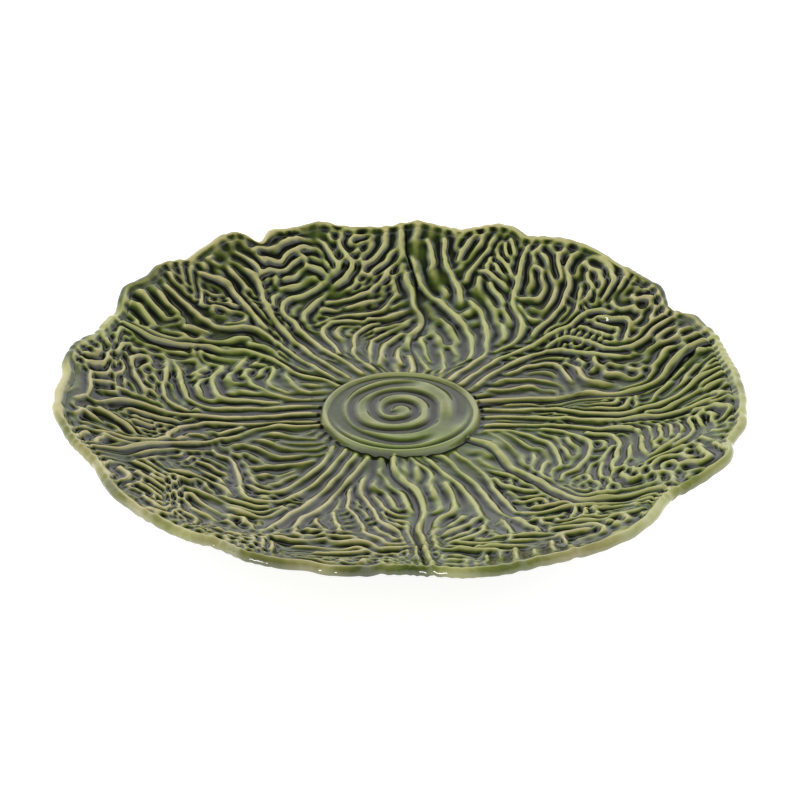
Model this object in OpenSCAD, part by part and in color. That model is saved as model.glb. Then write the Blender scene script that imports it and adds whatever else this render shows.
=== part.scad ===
/* [Plate] */
// Distance across the plate, taken over the mean line of its scallops
plate_d = 280; // [260:5:300]
// Height of the upper face at the rim above the table
plate_h = 28.6; // [26:0.2:32]
// Thickness of the wall and of the well's floor
wall_t = 4.5; // [4:0.1:5]
// Diameter of the flat well, where the wall starts to rise
well_d = 132; // [120:2:136]
// How far the rim waves up and down between its bulges and notches
wave_h = 2.4; // [0.5:0.1:3]

/* [Rolled lip] */
// Width of the smooth roll that runs along the scalloped edge
lip_w = 5; // [4:0.5:6]
// Height of the roll above the leaves' ground
lip_h = 0.9; // [0.5:0.1:1.5]

/* [Foot ring] */
// Outer diameter of the ring that the plate stands on
foot_d = 132; // [110:2:140]
// Width of the ring's flat face
foot_w = 5; // [4:0.5:8]
// Height of the ring below the plate
foot_h = 5; // [4.8:0.1:6]

/* [Stem disc] */
// Diameter of the round stem end in the middle of the well
disc_d = 65; // [60:1:66]
// Height of the disc above the well
disc_h = 2; // [1:0.1:3]
// Width of the raised bead round the disc's edge
bead_w = 3; // [2:0.1:4]
// Height of the bead above the disc
bead_h = 0.8; // [0.4:0.1:1.2]

/* [Stem coil] */
// Width of the coiled ridge on the disc
coil_w = 4.4; // [3:0.1:4.8]
// Height of the coiled ridge
coil_h = 1.1; // [0.6:0.1:1.6]

/* [Leaf ribs] */
// Width of a leaf's rib at its foot
rib_w = 2.3; // [1.8:0.1:2.4]
// Height of a rib
rib_h = 1.3; // [0.8:0.1:1.8]
// Width of the raised edge where one leaf lies over the next
seam_w = 3.6; // [3:0.1:3.8]
// Height of that raised edge
seam_h = 1.9; // [1.2:0.1:2.4]
// Fine gap that keeps the ribs clear of the curved wall
seat_gap = 0.3; // [0.25:0.01:0.4]

/* [Hidden] */

leaves = 6;
plate_r = plate_d / 2;
well_r = well_d / 2;
foot_r = foot_d / 2;
disc_r = disc_d / 2;
well_z = foot_h + wall_t;
disc_z = well_z + disc_h;
rise_h = plate_h - well_z;

// The wall rises slowly at first and then faster, as this power of the way to the rim
coupe_power_share = 1.7;
// Stations round the rim, and rings up the wall and down its underside
rim_steps = 120;
wall_ring_shares = [0, 0.1, 0.2, 0.3, 0.4, 0.5, 0.6, 0.7, 0.8, 0.9, 1];
under_ring_shares = [0.92, 0.78, 0.62, 0.46, 0.3, 0.15, 0];
// The roll's outline: places across the lip from its inner side, and heights of lip_h
lip_top_shares = [[0.25, 0.7], [0.5, 1], [0.75, 0.75]];
// Its outer side: places across the lip, and depths of the wall's thickness
lip_side_shares = [[1, 0.25], [0.9, 0.75]];

// Bulges and notches round the rim: an angle, a share of the plate's radius and a share of the wave
rim_shares = [
    [0, 0.988, 0], [9, 0.979, -0.1], [15, 0.984, 0], [21, 0.978, -0.1], [24, 0.980, 0],
    [27, 0.960, -0.2], [30, 0.950, -0.3], [36, 0.986, 0], [45, 0.988, 0.2], [54, 1.010, 0.5],
    [60, 1.008, 0.7], [66, 0.992, 0.2], [69, 1.010, 0.6], [72, 1.012, 0.8], [78, 0.982, -0.1],
    [81, 0.990, -0.2], [87, 1.001, 0.7], [93, 0.986, -0.3], [99, 0.986, 0.3], [105, 1.014, 0.9],
    [111, 1.006, 0.6], [114, 1.012, 0.4], [117, 0.982, 0.2], [121, 1.038, 1], [126, 1.020, 0.9],
    [132, 1.002, 0.2], [137, 1.020, 0.6], [142, 1.002, 0.3], [147, 1.012, 0.1], [153, 0.966, -0.2],
    [159, 0.962, -0.3], [162, 0.962, -0.3], [168, 0.989, 0], [173, 0.996, 0.1], [178, 0.984, -0.1],
    [184, 0.996, 0], [190, 1.004, 0.1], [198, 0.988, 0], [207, 0.958, -0.1], [213, 0.975, -0.1],
    [219, 0.995, 0], [228, 1.008, 0], [237, 1.012, -0.1], [241, 0.986, -0.2], [246, 1.036, -0.1],
    [250, 1.040, -0.1], [257, 1.018, -0.3], [262, 1.036, -0.2], [268, 0.972, -0.3], [273, 0.986, -0.5],
    [279, 1.036, -0.8], [284, 1.052, -1], [291, 1.030, -1], [296, 1.040, -1], [304, 1.044, -1],
    [309, 1.024, -0.8], [315, 0.984, -0.4], [320, 0.952, -0.3], [325, 0.970, -0.1], [329, 1.002, 0.2],
    [333, 1.022, 0.2], [336, 1.016, 0.1], [340, 0.993, -0.1], [345, 1.006, 0], [352, 1.000, 0],
    [360, 0.988, 0]
];

// The stem coil's middle line, from the inner hook outwards: radii as shares of the disc's radius,
// one for each step of 30 degrees, clockwise
coil_start_turn = 150;
coil_step_turn = 30;
coil_shares = [
    0.12, 0.13, 0.13, 0.13, 0.125, 0.105, 0.095, 0.10, 0.12, 0.17, 0.215, 0.25, 0.285, 0.345,
    0.363, 0.357, 0.326, 0.30, 0.314, 0.326, 0.338, 0.394, 0.45, 0.474, 0.52, 0.566, 0.597, 0.603,
    0.57, 0.566, 0.572, 0.59, 0.61, 0.625, 0.67, 0.714, 0.738, 0.769, 0.794, 0.80
];

// Each leaf's ribs, traced by eye: a share of the rib's full width, then the places along the rib, as a
// share of the plate's radius to the right of the leaf's axis and a share of the way from disc to rim.
// Ribs of the first leaf, which points along X
leaf_1_shares = [
    [1.1, [
        [-0.037, 0.01], [-0.033, 0.1], [-0.032, 0.2], [-0.037, 0.29], [-0.018, 0.35], [-0.005, 0.41],
        [0.008, 0.46], [0.02, 0.51], [0.028, 0.58], [0.02, 0.66], [-0.002, 0.73], [-0.035, 0.785],
        [-0.067, 0.83], [-0.088, 0.88], [-0.088, 0.94]]],
    [1.1, [
        [0.012, 0.01], [0.01, 0.12], [0.011, 0.22], [0.02, 0.33], [0.035, 0.43], [0.055, 0.5],
        [0.075, 0.59], [0.088, 0.67], [0.086, 0.75], [0.075, 0.82], [0.06, 0.88]]],
    [1, [
        [0.06, 0.01], [0.06, 0.1], [0.056, 0.2], [0.053, 0.27], [0.062, 0.34], [0.077, 0.4],
        [0.09, 0.45], [0.104, 0.5], [0.118, 0.55], [0.14, 0.585], [0.19, 0.592], [0.25, 0.587],
        [0.29, 0.605]]],
    [1, [
        [0.104, 0.395], [0.125, 0.45], [0.15, 0.49], [0.2, 0.51], [0.25, 0.5], [0.31, 0.482],
        [0.38, 0.472]]],
    [1, [
        [0.083, 0.22], [0.086, 0.26], [0.097, 0.31], [0.12, 0.355], [0.15, 0.395], [0.193, 0.41],
        [0.24, 0.395], [0.283, 0.366], [0.32, 0.345], [0.345, 0.3], [0.385, 0.287]]],
    [1, [
        [0.093, 0.01], [0.094, 0.07], [0.097, 0.12], [0.115, 0.175], [0.14, 0.213], [0.162, 0.247],
        [0.193, 0.27], [0.229, 0.287], [0.265, 0.29], [0.305, 0.285]]],
    [0.7, [[-0.062, 0.09], [-0.065, 0.16], [-0.057, 0.21], [-0.052, 0.25]]],
    [0.7, [[0.06, 0.62], [0.055, 0.68], [0.037, 0.735], [0.012, 0.785], [-0.01, 0.815]]],
    [0.7, [[0.2, 0.485], [0.24, 0.465], [0.27, 0.44], [0.29, 0.415]]],
    [0.7, [[0.3, 0.44], [0.34, 0.43], [0.4, 0.425]]],
    [0.7, [[0.126, 0.325], [0.162, 0.33], [0.193, 0.345]]],
    [0.7, [[0.185, 0.295], [0.21, 0.318], [0.25, 0.33]]],
    [0.8, [[0.104, 0.075], [0.126, 0.118], [0.153, 0.148], [0.18, 0.182], [0.195, 0.212]]],
    [0.7, [[0.21, 0.19], [0.247, 0.194], [0.283, 0.183]]],
    [0.7, [[0.256, 0.247], [0.283, 0.23], [0.31, 0.218], [0.34, 0.218]]],
    [0.8, [[0.104, 0.026], [0.126, 0.055], [0.153, 0.084], [0.184, 0.113], [0.22, 0.13]]],
    [0.7, [[-0.05, 0.578], [-0.022, 0.56], [-0.009, 0.525]]],
    [0.7, [[-0.058, 0.6], [0, 0.592]]],
    [0.7, [[-0.098, 0.73], [-0.06, 0.69], [-0.03, 0.665], [0, 0.645]]],
    [0.7, [[-0.15, 0.787], [-0.135, 0.765], [-0.11, 0.74]]],
    [0.7, [[-0.143, 0.83], [-0.107, 0.79], [-0.08, 0.78], [-0.055, 0.75]]],
    [0.7, [[-0.228, 0.827], [-0.22, 0.868], [-0.205, 0.89]]],
    [0.7, [[0.104, 0.863], [0.122, 0.89], [0.14, 0.92], [0.166, 0.91]]],
    [0.7, [[0.126, 0.827], [0.15, 0.805], [0.18, 0.81], [0.207, 0.816]]],
    [0.7, [
        [0.14, 0.79], [0.16, 0.775], [0.185, 0.78], [0.22, 0.78], [0.25, 0.763], [0.274, 0.74],
        [0.29, 0.71]]],
    [0.7, [[0.22, 0.73], [0.247, 0.72], [0.274, 0.695], [0.29, 0.65], [0.3, 0.61]]],
    [0.7, [[0.157, 0.66], [0.184, 0.67], [0.22, 0.66], [0.243, 0.635]]],
    [0.7, [[0.31, 0.74], [0.323, 0.695], [0.332, 0.65], [0.34, 0.6]]],
    [0.7, [[0.354, 0.695], [0.35, 0.65], [0.368, 0.61]]],
    [0.7, [[-0.22, 0.84], [-0.2, 0.88], [-0.165, 0.905]]],
    [0.7, [[-0.005, 0.85], [-0.025, 0.91], [-0.045, 0.95]]],
    [0.7, [[0.025, 0.87], [0.05, 0.92], [0.075, 0.95]]],
    [0.7, [[0.245, 0.84], [0.275, 0.88], [0.315, 0.905]]],
    [0.7, [[0.275, 0.8], [0.32, 0.835], [0.365, 0.86]]],
    [0.7, [[0.35, 0.79], [0.4, 0.81], [0.44, 0.805]]],
    [0.7, [[0.42, 0.71], [0.435, 0.76], [0.46, 0.79]]],
    [0.7, [[0.41, 0.5], [0.45, 0.53], [0.44, 0.57]]],
    [0.7, [[0.43, 0.61], [0.445, 0.655], [0.475, 0.69]]],
    [0.7, [[0.1, 0.79], [0.115, 0.84], [0.11, 0.88]]],
    [0.7, [[0.345, 0.5], [0.38, 0.46]]]
];
// Ribs of the second leaf
leaf_2_shares = [
    [1, [
        [0.012, 0.2], [-0.004, 0.264], [-0.022, 0.31], [-0.045, 0.35], [-0.071, 0.39], [-0.1, 0.42],
        [-0.134, 0.455], [-0.17, 0.48], [-0.205, 0.5], [-0.25, 0.52], [-0.3, 0.555], [-0.34, 0.59],
        [-0.375, 0.645], [-0.41, 0.68]]],
    [1, [
        [0.026, 0.01], [0.025, 0.09], [0.035, 0.17], [0.045, 0.25], [0.035, 0.3], [0.012, 0.345],
        [-0.008, 0.395], [-0.03, 0.44], [-0.05, 0.48], [-0.075, 0.515], [-0.11, 0.545], [-0.145, 0.575]]],
    [0.8, [[0.052, 0.4], [0.04, 0.43], [0.018, 0.47], [0, 0.5]]],
    [1.1, [
        [0.066, 0.01], [0.07, 0.08], [0.075, 0.15], [0.083, 0.21], [0.095, 0.27], [0.115, 0.325],
        [0.137, 0.375], [0.152, 0.42], [0.168, 0.475], [0.187, 0.525], [0.21, 0.57], [0.222, 0.62],
        [0.24, 0.66], [0.27, 0.69], [0.3, 0.685]]],
    [1, [
        [0.057, 0.3], [0.072, 0.345], [0.085, 0.39], [0.09, 0.44], [0.084, 0.48], [0.066, 0.52],
        [0.035, 0.56], [0.005, 0.595], [-0.012, 0.64], [-0.025, 0.69], [-0.04, 0.74], [-0.055, 0.8],
        [-0.068, 0.85], [-0.078, 0.89]]],
    [1, [
        [0.12, 0.465], [0.122, 0.5], [0.13, 0.55], [0.138, 0.61], [0.14, 0.67], [0.133, 0.72],
        [0.12, 0.77], [0.103, 0.82], [0.085, 0.86], [0.073, 0.91], [0.078, 0.96]]],
    [1.1, [
        [0.11, 0.02], [0.113, 0.1], [0.122, 0.17], [0.135, 0.24], [0.152, 0.3], [0.172, 0.355],
        [0.2, 0.4], [0.24, 0.428], [0.3, 0.428], [0.36, 0.432], [0.41, 0.437], [0.46, 0.45]]],
    [0.9, [
        [0.187, 0.415], [0.205, 0.46], [0.23, 0.495], [0.27, 0.505], [0.32, 0.49], [0.36, 0.475],
        [0.41, 0.48], [0.45, 0.51], [0.47, 0.56], [0.475, 0.62]]],
    [0.9, [
        [0.153, 0.17], [0.17, 0.22], [0.195, 0.275], [0.225, 0.32], [0.255, 0.33], [0.285, 0.31],
        [0.305, 0.285], [0.33, 0.25], [0.35, 0.23]]],
    [0.8, [[0.27, 0.345], [0.31, 0.34], [0.34, 0.315], [0.36, 0.28], [0.385, 0.262], [0.42, 0.25]]],
    [0.8, [[0.355, 0.41], [0.375, 0.38], [0.4, 0.355], [0.42, 0.347]]],
    [0.7, [[0.305, 0.392], [0.327, 0.37], [0.345, 0.34]]],
    [0.9, [[0.152, 0.1], [0.172, 0.135], [0.205, 0.16], [0.235, 0.195], [0.28, 0.207], [0.335, 0.2]]],
    [0.9, [[0.149, 0.026], [0.18, 0.043], [0.211, 0.078], [0.238, 0.113], [0.26, 0.136], [0.283, 0.136]]],
    [0.8, [[-0.018, 0.04], [-0.024, 0.1], [-0.045, 0.14], [-0.068, 0.185], [-0.09, 0.225]]],
    [0.7, [[-0.03, 0.205], [-0.06, 0.24], [-0.095, 0.262]]],
    [0.8, [[-0.075, 0.11], [-0.105, 0.15], [-0.135, 0.19], [-0.165, 0.225], [-0.185, 0.265]]],
    [0.8, [[-0.06, 0.045], [-0.1, 0.09], [-0.14, 0.135], [-0.175, 0.18]]],
    [1, [
        [-0.366, 0.875], [-0.34, 0.83], [-0.315, 0.77], [-0.295, 0.72], [-0.26, 0.675], [-0.22, 0.64],
        [-0.19, 0.6], [-0.165, 0.56], [-0.143, 0.53]]],
    [0.8, [[-0.41, 0.83], [-0.39, 0.79], [-0.36, 0.755], [-0.34, 0.735], [-0.325, 0.69], [-0.315, 0.65]]],
    [0.7, [[-0.183, 0.427], [-0.15, 0.398], [-0.116, 0.38]]],
    [0.8, [[-0.255, 0.9], [-0.26, 0.85], [-0.262, 0.79], [-0.254, 0.746]]],
    [0.8, [[-0.183, 0.85], [-0.196, 0.8], [-0.2, 0.74], [-0.196, 0.695], [-0.19, 0.65]]],
    [0.8, [
        [-0.24, 0.945], [-0.218, 0.956], [-0.18, 0.945], [-0.143, 0.927], [-0.116, 0.89],
        [-0.098, 0.857]]],
    [0.7, [[-0.15, 0.9], [-0.138, 0.87], [-0.11, 0.84]]],
    [0.7, [[-0.18, 0.73], [-0.15, 0.735], [-0.116, 0.72], [-0.08, 0.705], [-0.05, 0.69]]],
    [0.7, [[-0.116, 0.69], [-0.098, 0.67], [-0.062, 0.635], [-0.036, 0.61], [-0.025, 0.585]]],
    [0.7, [[-0.147, 0.82], [-0.116, 0.805], [-0.08, 0.765], [-0.05, 0.74]]],
    [0.7, [[-0.038, 0.985], [-0.04, 0.93], [-0.05, 0.875]]],
    [0.7, [[0.028, 0.925], [0.05, 0.88], [0.073, 0.835], [0.09, 0.79]]],
    [0.7, [[-0.02, 0.82], [0, 0.83], [0.02, 0.82], [0.03, 0.77]]],
    [0.7, [[0, 0.645], [0.025, 0.665], [0.055, 0.675], [0.06, 0.71]]],
    [0.7, [[0.02, 0.615], [0.045, 0.58], [0.075, 0.555], [0.11, 0.565]]],
    [0.7, [[0.166, 0.775], [0.175, 0.74], [0.184, 0.695], [0.193, 0.65]]],
    [0.7, [[0.149, 0.87], [0.162, 0.835], [0.184, 0.81], [0.21, 0.79]]],
    [0.8, [
        [0.105, 0.985], [0.108, 0.945], [0.12, 0.905], [0.157, 0.885], [0.2, 0.88], [0.225, 0.905],
        [0.24, 0.92]]],
    [0.7, [[0.243, 0.87], [0.256, 0.835], [0.256, 0.775], [0.247, 0.73]]],
    [0.7, [[0.283, 0.8], [0.283, 0.84], [0.3, 0.87], [0.327, 0.88]]],
    [0.7, [[0.28, 0.745], [0.3, 0.725], [0.33, 0.715], [0.363, 0.735], [0.385, 0.71]]],
    [0.8, [
        [0.3, 0.64], [0.327, 0.65], [0.354, 0.66], [0.376, 0.665], [0.39, 0.625], [0.4, 0.58],
        [0.415, 0.52]]],
    [0.7, [[0.238, 0.572], [0.265, 0.577], [0.29, 0.566], [0.323, 0.56], [0.35, 0.537]]],
    [0.8, [[0.35, 0.88], [0.39, 0.865], [0.412, 0.825]]],
    [0.7, [[0.33, 0.79], [0.35, 0.765], [0.38, 0.79], [0.405, 0.78]]],
    [0.7, [[0.415, 0.74], [0.445, 0.745], [0.475, 0.725]]],
    [0.7, [[0.435, 0.695], [0.45, 0.66]]],
    [0.7, [[0.4, 0.68], [0.395, 0.635], [0.42, 0.605]]],
    [0.7, [[0.5, 0.57], [0.525, 0.63], [0.55, 0.68]]],
    [0.7, [[0.13, 0.965], [0.16, 0.945], [0.2, 0.945]]],
    [0.7, [[0.012, 0.975], [0.04, 0.945], [0.048, 0.9]]],
    [0.7, [[-0.065, 0.965], [-0.075, 0.925], [-0.07, 0.88]]],
    [0.7, [[-0.025, 0.9], [0.005, 0.885], [0.025, 0.845]]],
    [0.7, [[0.2, 0.775], [0.197, 0.725], [0.185, 0.675]]],
    [0.7, [[0.45, 0.84], [0.47, 0.8]]],
    [0.7, [[-0.165, 0.7], [-0.145, 0.655], [-0.12, 0.62]]],
    [0.7, [[-0.3, 0.93], [-0.27, 0.915], [-0.25, 0.885]]]
];
// Ribs of the third leaf
leaf_3_shares = [
    [1, [
        [-0.063, 0.04], [-0.068, 0.1], [-0.08, 0.16], [-0.092, 0.24], [-0.103, 0.32], [-0.112, 0.4],
        [-0.125, 0.46], [-0.145, 0.52], [-0.175, 0.548], [-0.225, 0.555], [-0.26, 0.585],
        [-0.282, 0.64], [-0.297, 0.7], [-0.313, 0.765], [-0.33, 0.83]]],
    [1.1, [
        [-0.022, 0.04], [-0.031, 0.1], [-0.042, 0.18], [-0.052, 0.26], [-0.06, 0.35], [-0.066, 0.43],
        [-0.067, 0.52], [-0.065, 0.6], [-0.06, 0.665], [-0.047, 0.71], [-0.038, 0.76], [-0.042, 0.81],
        [-0.052, 0.85]]],
    [0.7, [[-0.085, 0.735], [-0.092, 0.78], [-0.1, 0.83], [-0.103, 0.87]]],
    [1.1, [
        [0.026, 0.04], [0.018, 0.12], [0.006, 0.2], [-0.008, 0.28], [-0.013, 0.36], [-0.016, 0.44],
        [-0.02, 0.51], [-0.03, 0.55], [-0.027, 0.59], [-0.01, 0.62], [0.025, 0.635], [0.07, 0.64],
        [0.11, 0.65], [0.145, 0.665]]],
    [1, [
        [0.02, 0.225], [0.027, 0.28], [0.032, 0.34], [0.038, 0.39], [0.05, 0.425], [0.085, 0.445],
        [0.11, 0.44], [0.135, 0.42], [0.165, 0.4]]],
    [0.8, [
        [0.035, 0.455], [0.08, 0.465], [0.12, 0.47], [0.15, 0.462], [0.175, 0.44], [0.205, 0.425],
        [0.26, 0.425]]],
    [1, [
        [0.068, 0.04], [0.06, 0.1], [0.056, 0.15], [0.06, 0.2], [0.075, 0.245], [0.1, 0.29],
        [0.125, 0.32], [0.16, 0.345], [0.21, 0.35]]],
    [0.9, [
        [0.075, 0.09], [0.09, 0.14], [0.115, 0.2], [0.14, 0.25], [0.18, 0.268], [0.23, 0.27],
        [0.28, 0.285], [0.32, 0.32]]],
    [0.9, [
        [0.088, 0.06], [0.105, 0.095], [0.13, 0.14], [0.165, 0.19], [0.21, 0.22], [0.26, 0.238],
        [0.305, 0.25]]],
    [0.9, [[0.147, 0.02], [0.158, 0.07], [0.175, 0.125], [0.2, 0.165]]],
    [0.8, [[0.19, 0.4], [0.215, 0.38], [0.25, 0.367], [0.29, 0.368], [0.32, 0.38]]],
    [0.8, [[0.256, 0.42], [0.283, 0.438], [0.31, 0.467], [0.336, 0.49]]],
    [0.6, [[0.283, 0.41], [0.3, 0.42], [0.323, 0.433]]],
    [0.8, [[0.16, 0.505], [0.2, 0.495], [0.25, 0.485], [0.29, 0.49]]],
    [0.8, [[0.18, 0.315], [0.22, 0.3], [0.26, 0.302], [0.3, 0.307]]],
    [0.9, [[0.012, 0.5], [0.03, 0.54], [0.065, 0.562], [0.1, 0.59], [0.14, 0.612]]],
    [0.9, [
        [0.115, 0.567], [0.155, 0.548], [0.21, 0.54], [0.26, 0.54], [0.3, 0.565], [0.345, 0.595],
        [0.37, 0.62]]],
    [0.7, [[0.085, 0.53], [0.11, 0.522], [0.14, 0.5]]],
    [0.9, [
        [0.185, 0.635], [0.225, 0.65], [0.255, 0.675], [0.272, 0.71], [0.27, 0.76], [0.268, 0.81],
        [0.283, 0.85], [0.31, 0.885]]],
    [1.2, [
        [-0.115, 0.5], [-0.118, 0.56], [-0.12, 0.62], [-0.124, 0.68], [-0.128, 0.74], [-0.132, 0.79],
        [-0.15, 0.825], [-0.175, 0.855], [-0.2, 0.885], [-0.225, 0.92]]],
    [0.7, [[0.205, 0.588], [0.235, 0.595], [0.26, 0.615]]],
    [0.8, [[0.222, 0.705], [0.23, 0.75], [0.231, 0.8], [0.23, 0.85], [0.218, 0.88]]],
    [0.7, [
        [-0.02, 0.795], [0.01, 0.81], [0.04, 0.8], [0.07, 0.793], [0.1, 0.81], [0.13, 0.825],
        [0.155, 0.81]]],
    [0.8, [
        [0.015, 0.855], [0.035, 0.87], [0.055, 0.845], [0.075, 0.83], [0.095, 0.855], [0.115, 0.87],
        [0.145, 0.87], [0.17, 0.86], [0.188, 0.84]]],
    [0.7, [[0, 0.92], [0.035, 0.925], [0.065, 0.91], [0.09, 0.92]]],
    [0.7, [[0.006, 0.706], [0.028, 0.703], [0.068, 0.703]]],
    [0.7, [[0.01, 0.73], [0.02, 0.755], [0.03, 0.78]]],
    [0.7, [[0.135, 0.785], [0.155, 0.745], [0.17, 0.715]]],
    [0.7, [[0.3, 0.765], [0.33, 0.77]]],
    [0.8, [[0.3, 0.69], [0.34, 0.69], [0.37, 0.71], [0.4, 0.745]]],
    [0.7, [[0.285, 0.65], [0.3, 0.62], [0.32, 0.64], [0.35, 0.655], [0.38, 0.66]]],
    [0.7, [[-0.19, 0.955], [-0.17, 0.935], [-0.14, 0.915], [-0.115, 0.88]]],
    [0.7, [[-0.05, 0.94], [-0.03, 0.9], [-0.018, 0.86], [-0.02, 0.815], [-0.025, 0.78]]],
    [0.8, [[-0.237, 0.66], [-0.22, 0.69], [-0.195, 0.67], [-0.178, 0.64]]],
    [0.8, [[-0.22, 0.59], [-0.19, 0.58], [-0.155, 0.585], [-0.14, 0.61], [-0.15, 0.645]]],
    [0.7, [[-0.263, 0.706], [-0.24, 0.745], [-0.223, 0.79], [-0.215, 0.83]]],
    [0.8, [[-0.355, 0.61], [-0.32, 0.595], [-0.295, 0.57], [-0.277, 0.545]]],
    [0.7, [[-0.205, 0.45], [-0.18, 0.43], [-0.157, 0.41]]],
    [0.7, [[-0.22, 0.49], [-0.2, 0.477], [-0.17, 0.485]]],
    [0.8, [[-0.465, 0.83], [-0.455, 0.76], [-0.445, 0.69], [-0.43, 0.64]]],
    [0.8, [[-0.41, 0.9], [-0.415, 0.82], [-0.41, 0.74], [-0.395, 0.67]]],
    [0.8, [[-0.365, 0.94], [-0.37, 0.88], [-0.37, 0.8], [-0.36, 0.73], [-0.34, 0.68]]],
    [0.7, [[-0.325, 0.9], [-0.33, 0.84], [-0.325, 0.79]]],
    [0.7, [[-0.285, 0.95], [-0.29, 0.9], [-0.295, 0.85]]],
    [0.7, [[-0.29, 0.68], [-0.275, 0.64], [-0.25, 0.61]]],
    [0.7, [[-0.215, 0.79], [-0.195, 0.755], [-0.165, 0.745]]],
    [0.8, [[0.12, 0.97], [0.16, 0.965], [0.2, 0.94]]],
    [0.7, [[0.33, 0.9], [0.37, 0.885], [0.41, 0.87]]],
    [0.7, [[-0.18, 0.945], [-0.15, 0.93], [-0.12, 0.94]]],
    [0.7, [[0.24, 0.93], [0.265, 0.89], [0.26, 0.84]]],
    [0.7, [[0.135, 0.86], [0.15, 0.83], [0.14, 0.79]]],
    [0.7, [[0.045, 0.755], [0.075, 0.74], [0.11, 0.755]]]
];
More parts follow.
